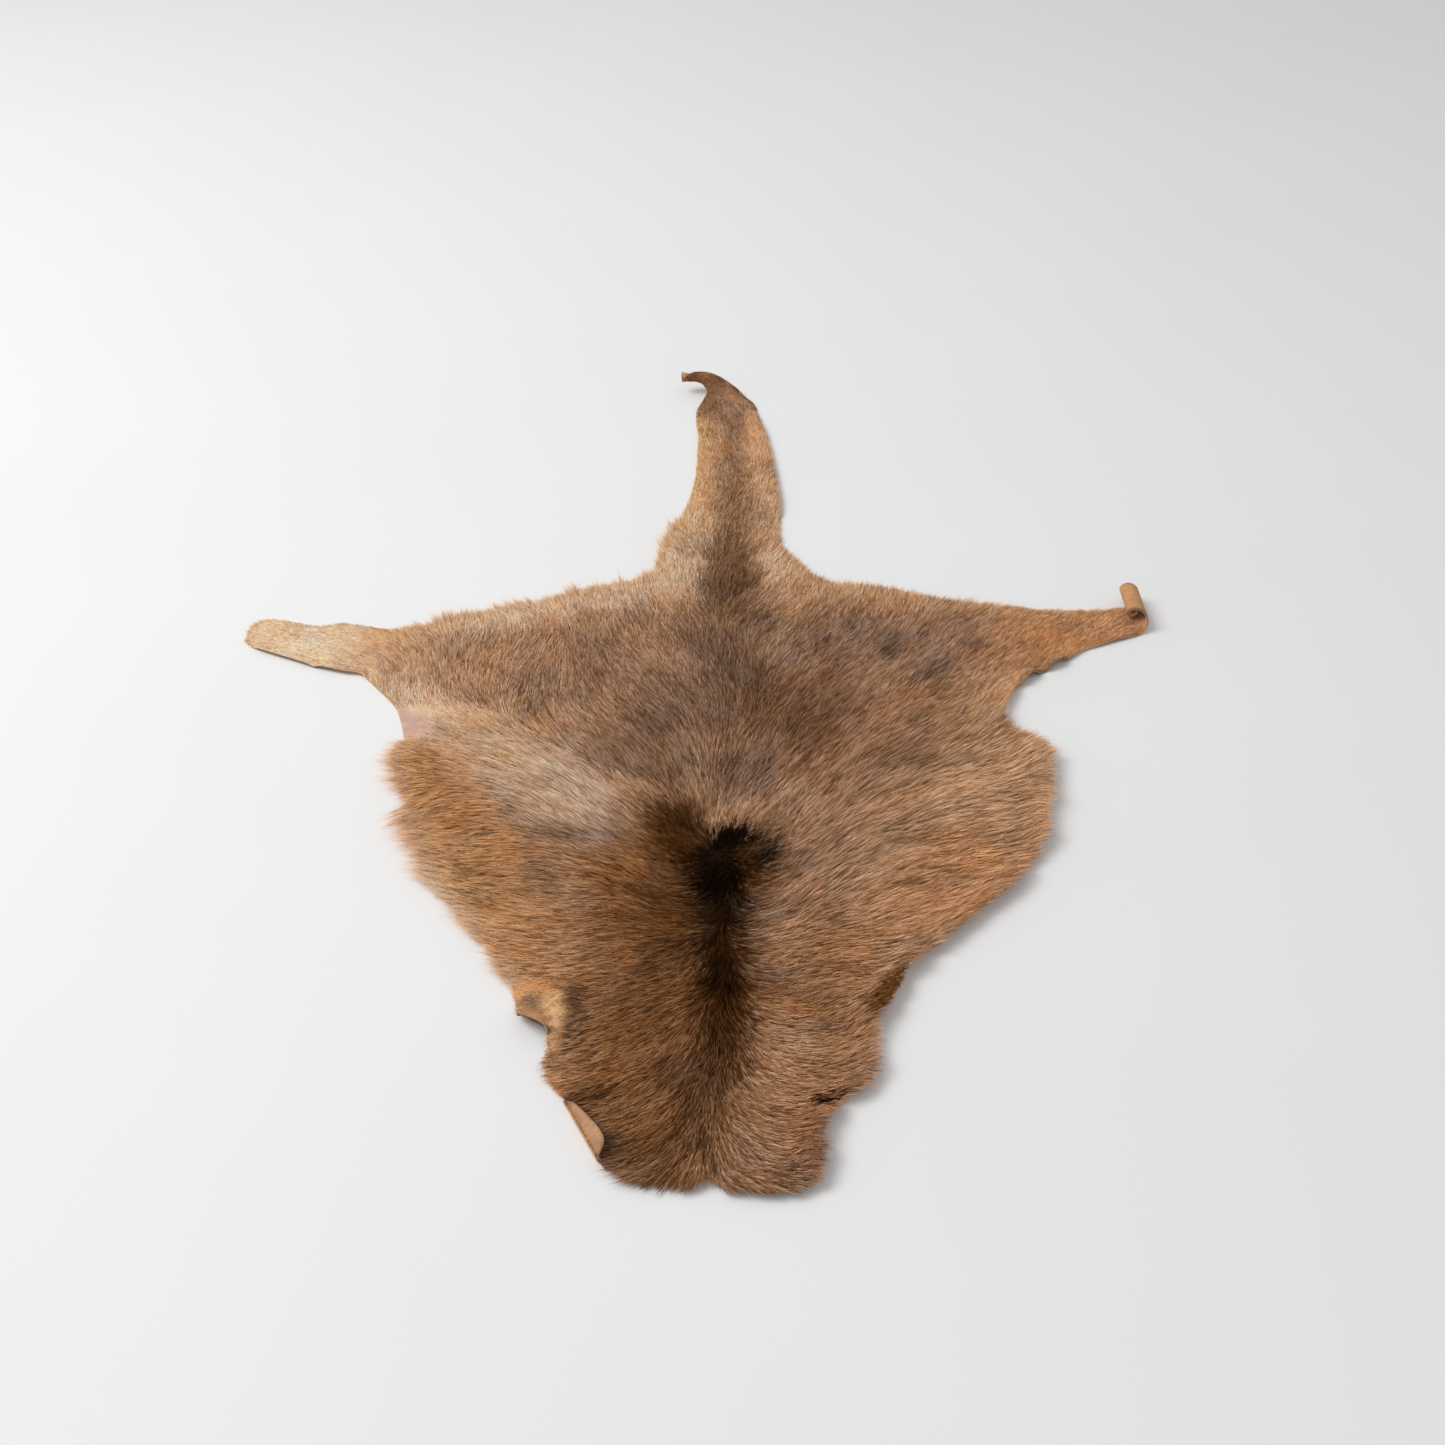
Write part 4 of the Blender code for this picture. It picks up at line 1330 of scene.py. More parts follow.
@dataclass(frozen=True)
class FurFinish:
    """Hair: dark at its root, in the coat's colour along its length and paler at the tip."""

    root: float = 0.54
    middle: float = 0.94
    tip: float = 1.16
    # Where along the hair it has its middle tone
    middle_place: float = 0.55
    ticking: Pair = (0.88, 1.12)
    ticking_scale: float = 420.0
    roughness: Pair = (0.75, 0.60)
    gloss: float = 0.015

    def make(self) -> bpy.types.Material:
        """Makes the material of all hairs, which reads the attributes coat and along.

        Returns:
            The material.
        """
        material, shader, surface = new_material("hair")
        along = shader.attribute("along")
        lower = shader.range(along, (0.0, self.middle_place), (self.root, self.middle))
        upper = shader.range(along, (self.middle_place, 1.0), (0.0, self.tip - self.middle))
        noise = shader.noise(shader.place(), self.ticking_scale, 1.0)
        ticking = shader.range(noise, NOISE_SPAN, self.ticking)
        factor = shader.math("MULTIPLY", shader.math("ADD", lower, upper), ticking)
        shader.put(
            surface,
            Base_Color=shader.scale_colour(shader.attribute("coat", "Color"), factor),
            Roughness=shader.range(along, (0.0, 1.0), self.roughness),
            Specular_IOR_Level=self.gloss,
        )
        return material


@dataclass(frozen=True)
class UndercoatFinish:
    """The fur side of the skin, under the hair: short dark underfur, or bare skin where the hair is gone."""

    bare: float = 0.80
    grain_scales: Pair = (900.0, 90.0)
    roughness: float = 0.85
    gloss: float = 0.05
    bump_strength: float = 0.5
    bump_height: float = 0.0006

    def make(self) -> bpy.types.Material:
        """Makes the material, which reads the attributes coat and bare.

        Returns:
            The material.
        """
        material, shader, surface = new_material("undercoat")
        grain = SkinGrain().placed(shader, self.grain_scales)
        depth = shader.range(shader.attribute("bare"), (0.0, 1.0), (1.0, self.bare))
        factor = shader.math("MULTIPLY", depth, grain["Shade"])
        shader.put(
            surface,
            Base_Color=shader.scale_colour(shader.attribute("coat", "Color"), factor),
            Roughness=self.roughness,
            Specular_IOR_Level=self.gloss,
            Normal=shader.bump(grain["Fine"], self.bump_strength, self.bump_height),
        )
        return material


@dataclass(frozen=True)
class SuedeFinish:
    """The flesh side and the cut rim: suede with fine pores and faint marks."""

    grain_scales: Pair = (480.0, 45.0)
    marks: Pair = (1.06, 0.74)
    marks_span: Pair = (0.42, 0.68)
    pore_scale: float = 330.0
    pore_size: float = 0.35
    pore_depth: float = 0.66
    roughness: Pair = (0.82, 0.68)
    gloss: float = 0.3
    bump_strength: float = 0.35
    bump_height: float = 0.0005

    def make(self) -> bpy.types.Material:
        """Makes the material, which reads the attribute flesh.

        Returns:
            The material.
        """
        material, shader, surface = new_material("suede")
        grain = SkinGrain().placed(shader, self.grain_scales)
        pores = shader.add("ShaderNodeTexVoronoi", Scale=self.pore_scale, Vector=shader.place())
        dent = shader.range(pores.outputs["Distance"], (0.0, self.pore_size), (0.0, 1.0))
        marks = shader.range(grain["Broad"], self.marks_span, self.marks)
        shade = shader.math("MULTIPLY", marks, grain["Shade"])
        factor = shader.math("MULTIPLY", shader.range(dent, (0.0, 1.0), (self.pore_depth, 1.0)), shade)
        height = shader.math("ADD", dent, grain["Fine"])
        shader.put(
            surface,
            Base_Color=shader.scale_colour(shader.attribute("flesh", "Color"), factor),
            Roughness=shader.range(grain["Broad"], NOISE_SPAN, self.roughness),
            Specular_IOR_Level=self.gloss,
            Normal=shader.bump(height, self.bump_strength, self.bump_height),
        )
        return material


def as_object(name: str, mesh: bpy.types.Mesh) -> bpy.types.Object:
    """Puts a mesh in the scene.

    Args:
        name: The object's name.
        mesh: The mesh.

    Returns:
        The object.
    """
    thing = bpy.data.objects.new(name, mesh)
    bpy.context.scene.collection.objects.link(thing)
    return thing


def give(mesh: bpy.types.Mesh, name: str, values: np.ndarray) -> None:
    """Stores a number or a colour for each vertex of a mesh.

    Args:
        mesh: The mesh.
        name: Name of the attribute.
        values: Numbers, or colours one a row.
    """
    if values.ndim == 1:
        mesh.attributes.new(name, "FLOAT", "POINT").data.foreach_set("value", values.astype(np.float32))
    else:
        colours = np.ones((len(values), 4), np.float32)
        colours[:, :3] = values
        mesh.attributes.new(name, "FLOAT_COLOR", "POINT").data.foreach_set("color", colours.ravel())


@dataclass
class Skin:
    """The tanned skin: one closed sheet, laid in its folds."""

    drawing: Drawing
    coat: Coat
    thickness: float = 0.0017
    pitch: float = 0.0080
    fine_pitch: float = 0.0045
    overhang: float = 0.62
    # The upper edge of the cut is paler than the flesh side
    cut_tone: Tone = Tone.CREAM
    cut_share: float = 0.6
    # Painted glow: hair near the rim is painted paler where the rim faces the lamp, at the left and the far
    # side
    painted_glow_way: Pair = (-0.90, 0.44)
    painted_glow_depth: float = 0.012
    # The hair overhangs no rim this near to the roll or the strip, and each round makes that change softer
    roll_margin: float = 0.03
    strip_margin: float = 0.004
    inset_rounds: int = 4
    # Rows and columns of the net in the folds
    roll_rows: int = 9
    tip_rows: int = 7
    strip_columns: int = 16
    # How far past the strip's fold line its rows are
    strip_rows: tuple[float, ...] = (
        -0.009, -0.006, -0.003, 0.0, 0.0025, 0.005, 0.0075, 0.010, 0.0135, 0.0165, 0.0195,
    )
    turned_pitch: float = 0.0022
    # Lifts narrower than this get a fine net, this much wider than they are
    narrow: float = 0.036
    lift_margin: float = 0.004
    # Where the wide net ends before the roll and before the tip
    wide_margins: Pair = (0.003, 0.004)
    # The least gaps of the fine and the wide net and of the net to the rim, as shares of the pitch
    gaps: Triple = (0.42, 0.5, 0.4)
    # How light the coat's colour is on the skin under short fur, and how much less so under long fur
    ground: Pair = (0.92, 0.40)
    # The length of short fur, and how much longer long fur is
    ground_fur: Pair = (0.005, 0.007)
    points: np.ndarray = field(default_factory=lambda: np.zeros((0, 2)))
    faces: np.ndarray = field(default_factory=lambda: np.zeros((0, 3), int))
    rim_count: int = 0

    def rim(self) -> np.ndarray:
        """The cut edge of the flat skin, which the hair overhangs.

        Returns:
            The edge's points, one a row.
        """
        edge, strip = self.drawing.outline(), self.drawing.strip
        outward = outward_ways(edge)
        length, lean, _, number = self.coat.fur(edge)
        along = (facing(self.coat.headings(edge)) * outward).sum(axis=1)
        inset = self.overhang * length * np.cos(lean) * np.clip(along, 0.0, 1.0) * number
        rolled = edge[:, 0] > self.drawing.scroll.start - self.roll_margin
        folded = rolled | strip.holds(edge, self.strip_margin)
        for row in LIFTS:
            if row.turned:
                folded |= from_line(edge, row.start, row.end) < row.width
        inset[folded | (edge[:, 1] >= self.drawing.horn.start)] = 0.0
        for _ in range(self.inset_rounds):
            inset = (np.roll(inset, 1) + inset * 2.0 + np.roll(inset, -1)) / 4.0
        return edge - outward * inset[:, None]

    def net(self, rim: np.ndarray) -> np.ndarray:
        """Inner points of the flat net: fine where the skin is folded, wide elsewhere.

        Args:
            rim: The cut edge of the skin.

        Returns:
            The points, one a row.
        """
        scroll, strip, horn = self.drawing.scroll, self.drawing.strip, self.drawing.horn
        columns = scroll.columns()[:-1]
        near, far = leg_rims(columns)
        shares = np.arange(1, self.roll_rows) / self.roll_rows
        rolled = [np.stack((columns, near + (far - near) * share), axis=1) for share in shares]
        y, half = horn.rims()
        shares = np.arange(1 - self.tip_rows, self.tip_rows) / self.tip_rows
        curled = [np.stack((horn.middle + half * share, y), axis=1)[:-1] for share in shares]
        along, outward, length = strip.ways()
        steps = (np.arange(self.strip_columns) + 0.5) / self.strip_columns
        turned = [strip.top + np.outer(steps * length, along) + outward * row for row in self.strip_rows]
        lifted = [
            self.hexagons(row, self.turned_pitch if row.turned else self.fine_pitch)
            for row in LIFTS
            if row.width < self.narrow
        ]
        fine_gap, wide_gap, rim_gap = self.gaps
        fine = self.apart(np.vstack((*rolled, *curled, *turned, *lifted)), self.fine_pitch * fine_gap)
        wide = self.hexagon_net(rim.min(axis=0), rim.max(axis=0), self.pitch)
        wide = wide[(wide < np.subtract((scroll.start, horn.start), self.wide_margins)).all(axis=1)]
        net = self.apart(np.vstack((fine, wide)), self.pitch * wide_gap, len(fine))
        return net[self.inside(rim, net, self.fine_pitch * rim_gap)]

    def hexagons(self, lift: Lift, pitch: float) -> np.ndarray:
        """A fine net around a lift.

        Args:
            lift: Where the skin stands off the floor.
            pitch: The distance between the net's points.

        Returns:
            The points of the net, one a row.
        """
        around = lift.width + self.lift_margin
        low, high = np.minimum(lift.start, lift.end) - around, np.maximum(lift.start, lift.end) + around
        net = self.hexagon_net(low, high, pitch)
        return net[from_line(net, lift.start, lift.end) < around]

    def hexagon_net(self, low: np.ndarray, high: np.ndarray, pitch: float) -> np.ndarray:
        """A hexagonal net over a rectangle, with its points in the same places for any rectangle.

        Args:
            low: The corner with the lowest X and Y.
            high: The corner with the highest.
            pitch: The distance between the net's points.

        Returns:
            The points of the net, one a row.
        """
        row_step = pitch * math.sqrt(3.0) / 2.0
        bands = np.arange(math.floor(low[1] / row_step), math.ceil(high[1] / row_step) + 1)
        columns = np.arange(math.floor(low[0] / pitch), math.ceil(high[0] / pitch) + 1)
        row, column = (index.ravel() for index in np.meshgrid(bands, columns, indexing="ij"))
        return np.stack(((column + 0.5 * (row % 2)) * pitch, row * row_step), axis=1)

    def apart(self, points: np.ndarray, gap: float, kept: int = 0) -> np.ndarray:
        """The points without those that come too near an earlier one.

        Args:
            points: Flat points, one a row.
            gap: The least distance.
            kept: How many of the first points always stay.

        Returns:
            The points that are left.
        """
        tree = tree_of(points, np.arange(len(points)))
        stays = np.ones(len(points), bool)
        for index in range(max(kept, 1), len(points)):
            for _, other, _ in tree.find_range((*points[index], 0.0), gap):
                if other < index and stays[other]:
                    stays[index] = False
                    break
        return points[stays]

    def inside(self, rim: np.ndarray, points: np.ndarray, margin: float) -> np.ndarray:
        """Which flat points lie inside the rim, further from it than a margin.

        Args:
            rim: The points of the rim in order.
            points: Flat points, one a row.
            margin: The least distance from the rim.

        Returns:
            Whether each point does.
        """
        following = np.roll(rim, -1, axis=0)
        crossings = np.zeros(len(points), int)
        nearest = np.full(len(points), np.inf)
        for start, end in zip(rim, following):
            spans = (start[1] > points[:, 1]) != (end[1] > points[:, 1])
            if spans.any():
                slope = (end[0] - start[0]) / (end[1] - start[1])
                crossings += spans & (start[0] + (points[:, 1] - start[1]) * slope > points[:, 0])
            nearest = np.minimum(nearest, from_line(points, tuple(start), tuple(end)))
        return (crossings % 2 == 1) & (nearest > margin)

    def painted_glow(self, points: np.ndarray) -> np.ndarray:
        """How much painted glow the hair gets at flat points, as if light came through it: most at the left
        and the far rim.

        Args:
            points: Points of the flat drawing, one a row.

        Returns:
            Shares from 1 at a rim that faces the light, painted paler, to -1 at one that faces away from it,
            painted darker.
        """
        rim = self.points[: self.rim_count]
        towards = outward_ways(rim) @ self.painted_glow_way
        for row in PAINTED_GLOW_DIMS:
            there = soft(FADE - np.hypot(*(rim - (row.x, row.y)).T) / row.radius)
            towards = towards * (1.0 - there * (1.0 - row.share))
        tree = tree_of(rim, np.arange(len(rim)))
        found = [tree.find((x, y, 0.0)) for x, y in points.tolist()]
        away = np.array([row[2] for row in found])
        return np.exp(-((away / self.painted_glow_depth) ** 2)) * towards[[row[1] for row in found]]

    def draw(self) -> None:
        """Fills the flat rim with triangles, and keeps their points, the rim's first."""
        rim = self.rim()
        places = [Vector(point) for point in np.vstack((rim, self.net(rim)))]
        edges = [(index, (index + 1) % len(rim)) for index in range(len(rim))]
        flat, _, faces, _, _, _ = delaunay_2d_cdt(places, edges, [], 1, 1e-7)
        self.points = np.array([tuple(point) for point in flat])
        self.faces = np.array(faces)
        self.rim_count = len(rim)
        turned = signed_areas(self.points[self.faces]) < 0.0
        self.faces[turned] = self.faces[turned][:, ::-1]

    def paint(self, mesh: bpy.types.Mesh) -> None:
        """Stores the colours of both sides, and how bare the fur side is.

        Args:
            mesh: The sheet, with the points of the flesh side before those of the fur side.
        """
        length, _, _, number = self.coat.fur(self.points)
        short, more = self.ground_fur
        ground = self.ground[0] - self.ground[1] * soft((length - short) / more)
        colours = self.coat.dyed(self.coat.colours(self.points), np.zeros(len(length))) * ground[:, None]
        give(mesh, "coat", np.tile(colours, (2, 1)))
        give(mesh, "bare", np.tile(1.0 - number, 2))
        flesh = np.tile(Tone.SUEDE.linear(), (len(length), 1))
        # The flesh side's stains, and its painted shade and highlights
        for row in STAINS_AND_PAINTED_LIGHT:
            share = row.depth * soft(FADE - from_line(self.points, row.start, row.end) / row.width)
            flesh += (row.tone.linear() - flesh) * share[:, None]
        cut = flesh + (self.cut_tone.linear() - flesh) * self.cut_share
        give(mesh, "flesh", np.vstack((flesh, cut)))

    def build(self) -> bpy.types.Object:
        """Makes the closed sheet and dresses it.

        Returns:
            The skin's object.
        """
        self.draw()
        under = self.drawing.under(self.points)
        over = under + self.drawing.upright(self.points) * self.thickness
        under[:, 2] = np.maximum(under[:, 2], 0.0)
        over[:, 2] = np.maximum(over[:, 2], self.thickness / 3.0)
        count = len(self.points)
        here = np.arange(self.rim_count)
        following = (here + 1) % self.rim_count
        wall = np.stack((here, following, following + count, here + count), axis=1)
        polygons = [*(self.faces + count).tolist(), *self.faces[:, ::-1].tolist(), *wall.tolist()]
        mesh = bpy.data.meshes.new("skin")
        mesh.from_pydata(np.vstack((under, over)).tolist(), [], polygons)
        self.paint(mesh)
        slots = np.ones(len(polygons), np.int32)
        slots[: len(self.faces)] = 0
        mesh.materials.append(UndercoatFinish().make())
        mesh.materials.append(SuedeFinish().make())
        mesh.polygons.foreach_set("material_index", slots)
        mesh.shade_smooth()
        mesh.update()
        return as_object("skin", mesh)


class Zone(NamedTuple):
    """A stretch of the coat that is one piece: its name, its rectangle and the number of its hairs."""

    name: str
    low: Place
    high: Place
    hairs: int


ZONES = rows(
    Zone,
    ("fur_left_haunch", (-600, -130), (30, 160), 82000),
    ("fur_right_haunch", (30, -130), (600, 160), 82000),
    ("fur_tail", (-200, 160), (300, 800), 50000),
    ("fur_left_flank", (-600, -400), (30, -130), 84000),
    ("fur_right_flank", (30, -400), (600, -130), 84000),
    ("fur_shoulders", (-600, -800), (600, -400), 66000),
)
(RIM_ZONE,) = rows(Zone, ("fur_fringe", (-600, -800), (600, 800), 24000))


@dataclass(frozen=True)
class Spread:
    """How hairs and locks differ from the coat: turns as shares of its unrest, leans in radians."""

    lock_turn: float = 0.6
    lock_size: Pair = (0.88, 1.10)
    lock_lean: float = math.radians(3.0)
    lock_shade: float = 0.10
    lock_slide: Pair = (0.007, 0.003)
    turn: float = 0.38
    # The shortest hair, how much longer the longest is, and the shape of the draw between them
    size: Pair = (0.55, 0.70)
    size_shape: Pair = (2.4, 2.0)
    lean: float = math.radians(4.5)
    lean_range: Pair = (0.07, 1.3)
    bend: float = 0.7
    # Where between a hair's first part, 0, and its second, 1, its bend changes sides
    bend_place: float = 0.3
    shade: float = 0.43
    slide: float = 0.003
    width: Pair = (0.7, 1.25)


@dataclass
class Fur:
    """The hair of one zone: tapering hairs that gather into small locks, joined in one mesh."""

    zone: Zone
    skin: Skin
    coat: Coat
    drawing: Drawing
    seed: int
    spread: Spread = Spread()
    width: float = 0.00040
    width_share: float = 0.008
    lock_spacing: float = 0.0011
    lock_share: float = 0.045
    crowd_cell: float = 0.006
    gather: Pair = (0.14, 0.30)
    gather_height: float = 0.5
    joints: Triple = (0.0, 0.52, 1.0)
    tilts: Pair = (1.25, 0.55)
    # How far up in the skin the hair starts, as a share of its thickness
    root_height: float = 0.8
    roll: float = 0.5
    least_height: float = 0.0004
    # Painted glow: hair at rims facing the lamp is mixed towards this tone by this share; painted shade at
    # rims facing away
    painted_glow_tone: Tone = Tone.HONEY
    painted_glow_share: float = 0.70
    rim_shade: float = 0.05
    liveliness: float = 1.0
    # The shortest length with all of its shades, and the least share of them
    lively_length: float = 0.015
    least_lively: float = 0.60
    # Hair below this length starts further on in its colours: how much further for all that it lacks, and
    # the least share of the length that counts
    rooted_length: float = 0.012
    lost_root: float = 0.55
    least_rooted: float = 0.35
    # How far before the strip's fold line, and how far past the start of the roll, the hair ends
    strip_margin: float = 0.0030
    roll_margin: float = 0.004
    # The four corners of a hair in its cell of the flat map
    map_corners: tuple[Pair, ...] = ((0.5, 0.08), (0.12, 0.5), (0.88, 0.5), (0.5, 0.92))

    def roots(self, rng: np.random.Generator) -> np.ndarray:
        """Flat points for the hairs to grow from, denser where the hair is short.

        Args:
            rng: Source of the random draws.

        Returns:
            The points, one a row.
        """
        corners = self.skin.points[self.skin.faces]
        middles = corners.mean(axis=1)
        length, _, _, number = self.coat.fur(middles)
        held = (middles > self.zone.low) & (middles <= self.zone.high)
        weight = np.abs(signed_areas(corners)) * number / np.sqrt(length) * held.all(axis=1)
        weight[self.drawing.strip.holds(middles, self.strip_margin)] = 0.0
        weight[middles[:, 0] > self.drawing.scroll.start + self.roll_margin] = 0.0
        chosen = rng.choice(len(weight), self.zone.hairs, p=weight / weight.sum())
        shares = rng.random((self.zone.hairs, 2))
        shares = np.where(shares.sum(axis=1)[:, None] > 1.0, 1.0 - shares, shares)
        start = corners[chosen]
        way_1 = (start[:, 1] - start[:, 0]) * shares[:, :1]
        way_2 = (start[:, 2] - start[:, 0]) * shares[:, 1:]
        return self.in_rows(start[:, 0] + way_1 + way_2)

    def in_rows(self, roots: np.ndarray) -> np.ndarray:
        """Orders the roots in rows across the hide, so that neighbours in the mesh are neighbours there.

        Args:
            roots: Flat points, one a row.

        Returns:
            The same points in their new order.
        """
        side = self.side()
        by_y = roots[np.argsort(roots[:, 1])]
        bands = [by_y[start : start + side] for start in range(0, len(by_y), side)]
        return np.vstack([band[np.argsort(band[:, 0])] for band in bands])

    def side(self) -> int:
        """How many hairs stand in a row of the mesh's flat map."""
        return math.ceil(math.sqrt(self.zone.hairs))

    def locks(self, roots: np.ndarray, length: np.ndarray, rng: np.random.Generator) -> np.ndarray:
        """Gathers the hairs into locks.

        Args:
            roots: Where the hairs grow from.
            length: Their lengths.
            rng: Source of the random draws.

        Returns:
            For each hair the index of the hair whose lock it belongs to.
        """
        spacing = self.lock_spacing + self.lock_share * length
        crowd = len(roots) / self.area(roots)
        leads = np.flatnonzero(rng.random(len(roots)) < 1.0 / (crowd * spacing**2))
        tree = tree_of(roots, leads)
        return np.array([tree.find((x, y, 0.0))[1] for x, y in roots.tolist()])

    def area(self, roots: np.ndarray) -> float:
        """About how much flat skin the roots cover, from a coarse grid of cells."""
        return len(np.unique(np.floor(roots / self.crowd_cell), axis=0)) * self.crowd_cell**2

    def spines(self, rng: np.random.Generator) -> tuple[np.ndarray, np.ndarray, np.ndarray]:
        """The hairs' lines in space.

        Args:
            rng: Source of the random draws.

        Returns:
            The points of each line from root to tip, the roots' flat places and each hair's colour.
        """
        spread = self.spread
        roots = self.roots(rng)
        count = len(roots)
        length, lean, unrest, _ = self.coat.fur(roots)
        lead = self.locks(roots, length, rng)
        way = self.coat.headings(roots)
        lock_turn = rng.normal(0.0, spread.lock_turn, count)[lead] * unrest
        lock_size = rng.uniform(*spread.lock_size, count)[lead]
        lock_lean = rng.normal(0.0, spread.lock_lean, count)[lead]
        lock_shade = rng.normal(0.0, spread.lock_shade, count)[lead]
        lock_slide = rng.normal(0.0, 1.0, (count, 2))[lead] * spread.lock_slide
        heading = way + lock_turn + rng.normal(0.0, spread.turn, count) * unrest
        shortest, more = spread.size
        length = length * lock_size * (shortest + more * rng.beta(*spread.size_shape, count))
        lean = np.clip(lean + lock_lean + rng.normal(0.0, spread.lean, count), *spread.lean_range)
        bend = rng.normal(0.0, spread.bend, count) * unrest
        spot, rise = roots.copy(), np.full(count, self.skin.thickness * self.root_height)
        spots, rises = [spot], [rise]
        for place, (low, high) in enumerate(zip(self.joints, self.joints[1:])):
            step, tilt = length * (high - low), lean * self.tilts[place]
            ahead = facing(heading + bend * (place - spread.bend_place))
            spot = spot + ahead * (step * np.cos(tilt))[:, None]
            rise = rise + step * np.sin(tilt)
            spots.append(spot)
            rises.append(rise)
        upright = self.drawing.upright(roots)
        lines = []
        for spot, rise, pull in zip(spots, rises, (0.0, *self.gather)):
            spot = spot + (spot[lead] - spot) * pull
            rise = rise + (rise[lead] - rise) * pull * self.gather_height
            lines.append(self.drawing.under(spot) + upright * rise[:, None])
        calm = np.clip(length / self.lively_length, self.least_lively, 1.0) * self.liveliness
        own_shade = lock_shade + rng.normal(0.0, spread.shade, count)
        shade = (own_shade + self.coat.streaked(spots[1], way, length)) * calm
        forward = facing(way)
        slide = forward * (lock_slide[:, :1] + rng.normal(0.0, spread.slide, (count, 1)))
        slide += forward[:, ::-1] * (-1.0, 1.0) * lock_slide[:, 1:]
        colours = self.coat.colours(spots[1] + slide)
        # Painted glow and painted shade near the rims, by how each rim faces the lamp
        painted_glow = self.skin.painted_glow(spots[1])[:, None]
        colours += (self.painted_glow_tone.linear() - colours) * (self.painted_glow_share * np.maximum(painted_glow, 0.0))
        colours *= 1.0 + self.rim_shade * np.minimum(painted_glow, 0.0)
        return np.stack(lines, axis=1), roots, self.coat.dyed(colours, shade)

    def build(self, material: bpy.types.Material) -> bpy.types.Object:
        """Makes the zone's joined mesh: each hair a thin blade, pointed at both ends.

        Args:
            material: The finish of the hair.

        Returns:
            The fur's object.
        """
        rng = np.random.default_rng(self.seed)
        lines, roots, colours = self.spines(rng)
        count = len(lines)
        way = lines[:, 2] - lines[:, 0]
        length = np.linalg.norm(way, axis=1)
        way /= length[:, None]
        side = unit(np.cross(way, self.drawing.upright(roots)))
        roll = rng.uniform(-self.roll, self.roll, count)[:, None]
        side = side * np.cos(roll) + np.cross(way, side) * np.sin(roll)
        width = (self.width + self.width_share * length) * rng.uniform(*self.spread.width, count)
        half = side * (width / 2.0)[:, None]
        corners = (lines[:, 0], lines[:, 1] - half, lines[:, 1] + half, lines[:, 2])
        verts = np.stack(corners, axis=1).reshape(-1, 3)
        verts[:, 2] = np.maximum(verts[:, 2], self.least_height)
        faces = (np.arange(count)[:, None, None] * 4 + ((0, 2, 1), (1, 2, 3))).reshape(-1, 3)
        mesh = bpy.data.meshes.new(self.zone.name)
        mesh.vertices.add(len(verts))
        mesh.vertices.foreach_set("co", verts.astype(np.float32).ravel())
        mesh.loops.add(faces.size)
        mesh.loops.foreach_set("vertex_index", faces.astype(np.int32).ravel())
        mesh.polygons.add(len(faces))
        mesh.polygons.foreach_set("loop_start", np.arange(0, faces.size, 3, dtype=np.int32))
        mesh.update(calc_edges=True)
        mesh.shade_smooth()
        give(mesh, "coat", np.repeat(colours, 4, axis=0))
        start = self.lost_root * (1.0 - np.clip(length / self.rooted_length, self.least_rooted, 1.0))
        middle = start + (1.0 - start) * self.joints[1]
        give(mesh, "along", np.stack((start, middle, middle, np.ones(count)), axis=1).ravel())
        self.map_flat(mesh, faces, count)
        mesh.materials.append(material)
        return as_object(self.zone.name, mesh)

    def map_flat(self, mesh: bpy.types.Mesh, faces: np.ndarray, count: int) -> None:
        """Gives each hair a small cell of its own in the mesh's flat map, in the order of the rows.

        Args:
            mesh: The fur's mesh.
            faces: The corners of its triangles.
            count: The number of hairs.
        """
        side = self.side()
        cells = np.stack((np.arange(count) % side, np.arange(count) // side), axis=1)
        flat = (cells[:, None] + self.map_corners).reshape(-1, 2) / side
        layer = mesh.uv_layers.new(name="OFBake")
        layer.data.foreach_set("uv", flat[faces.ravel()].astype(np.float32).ravel())


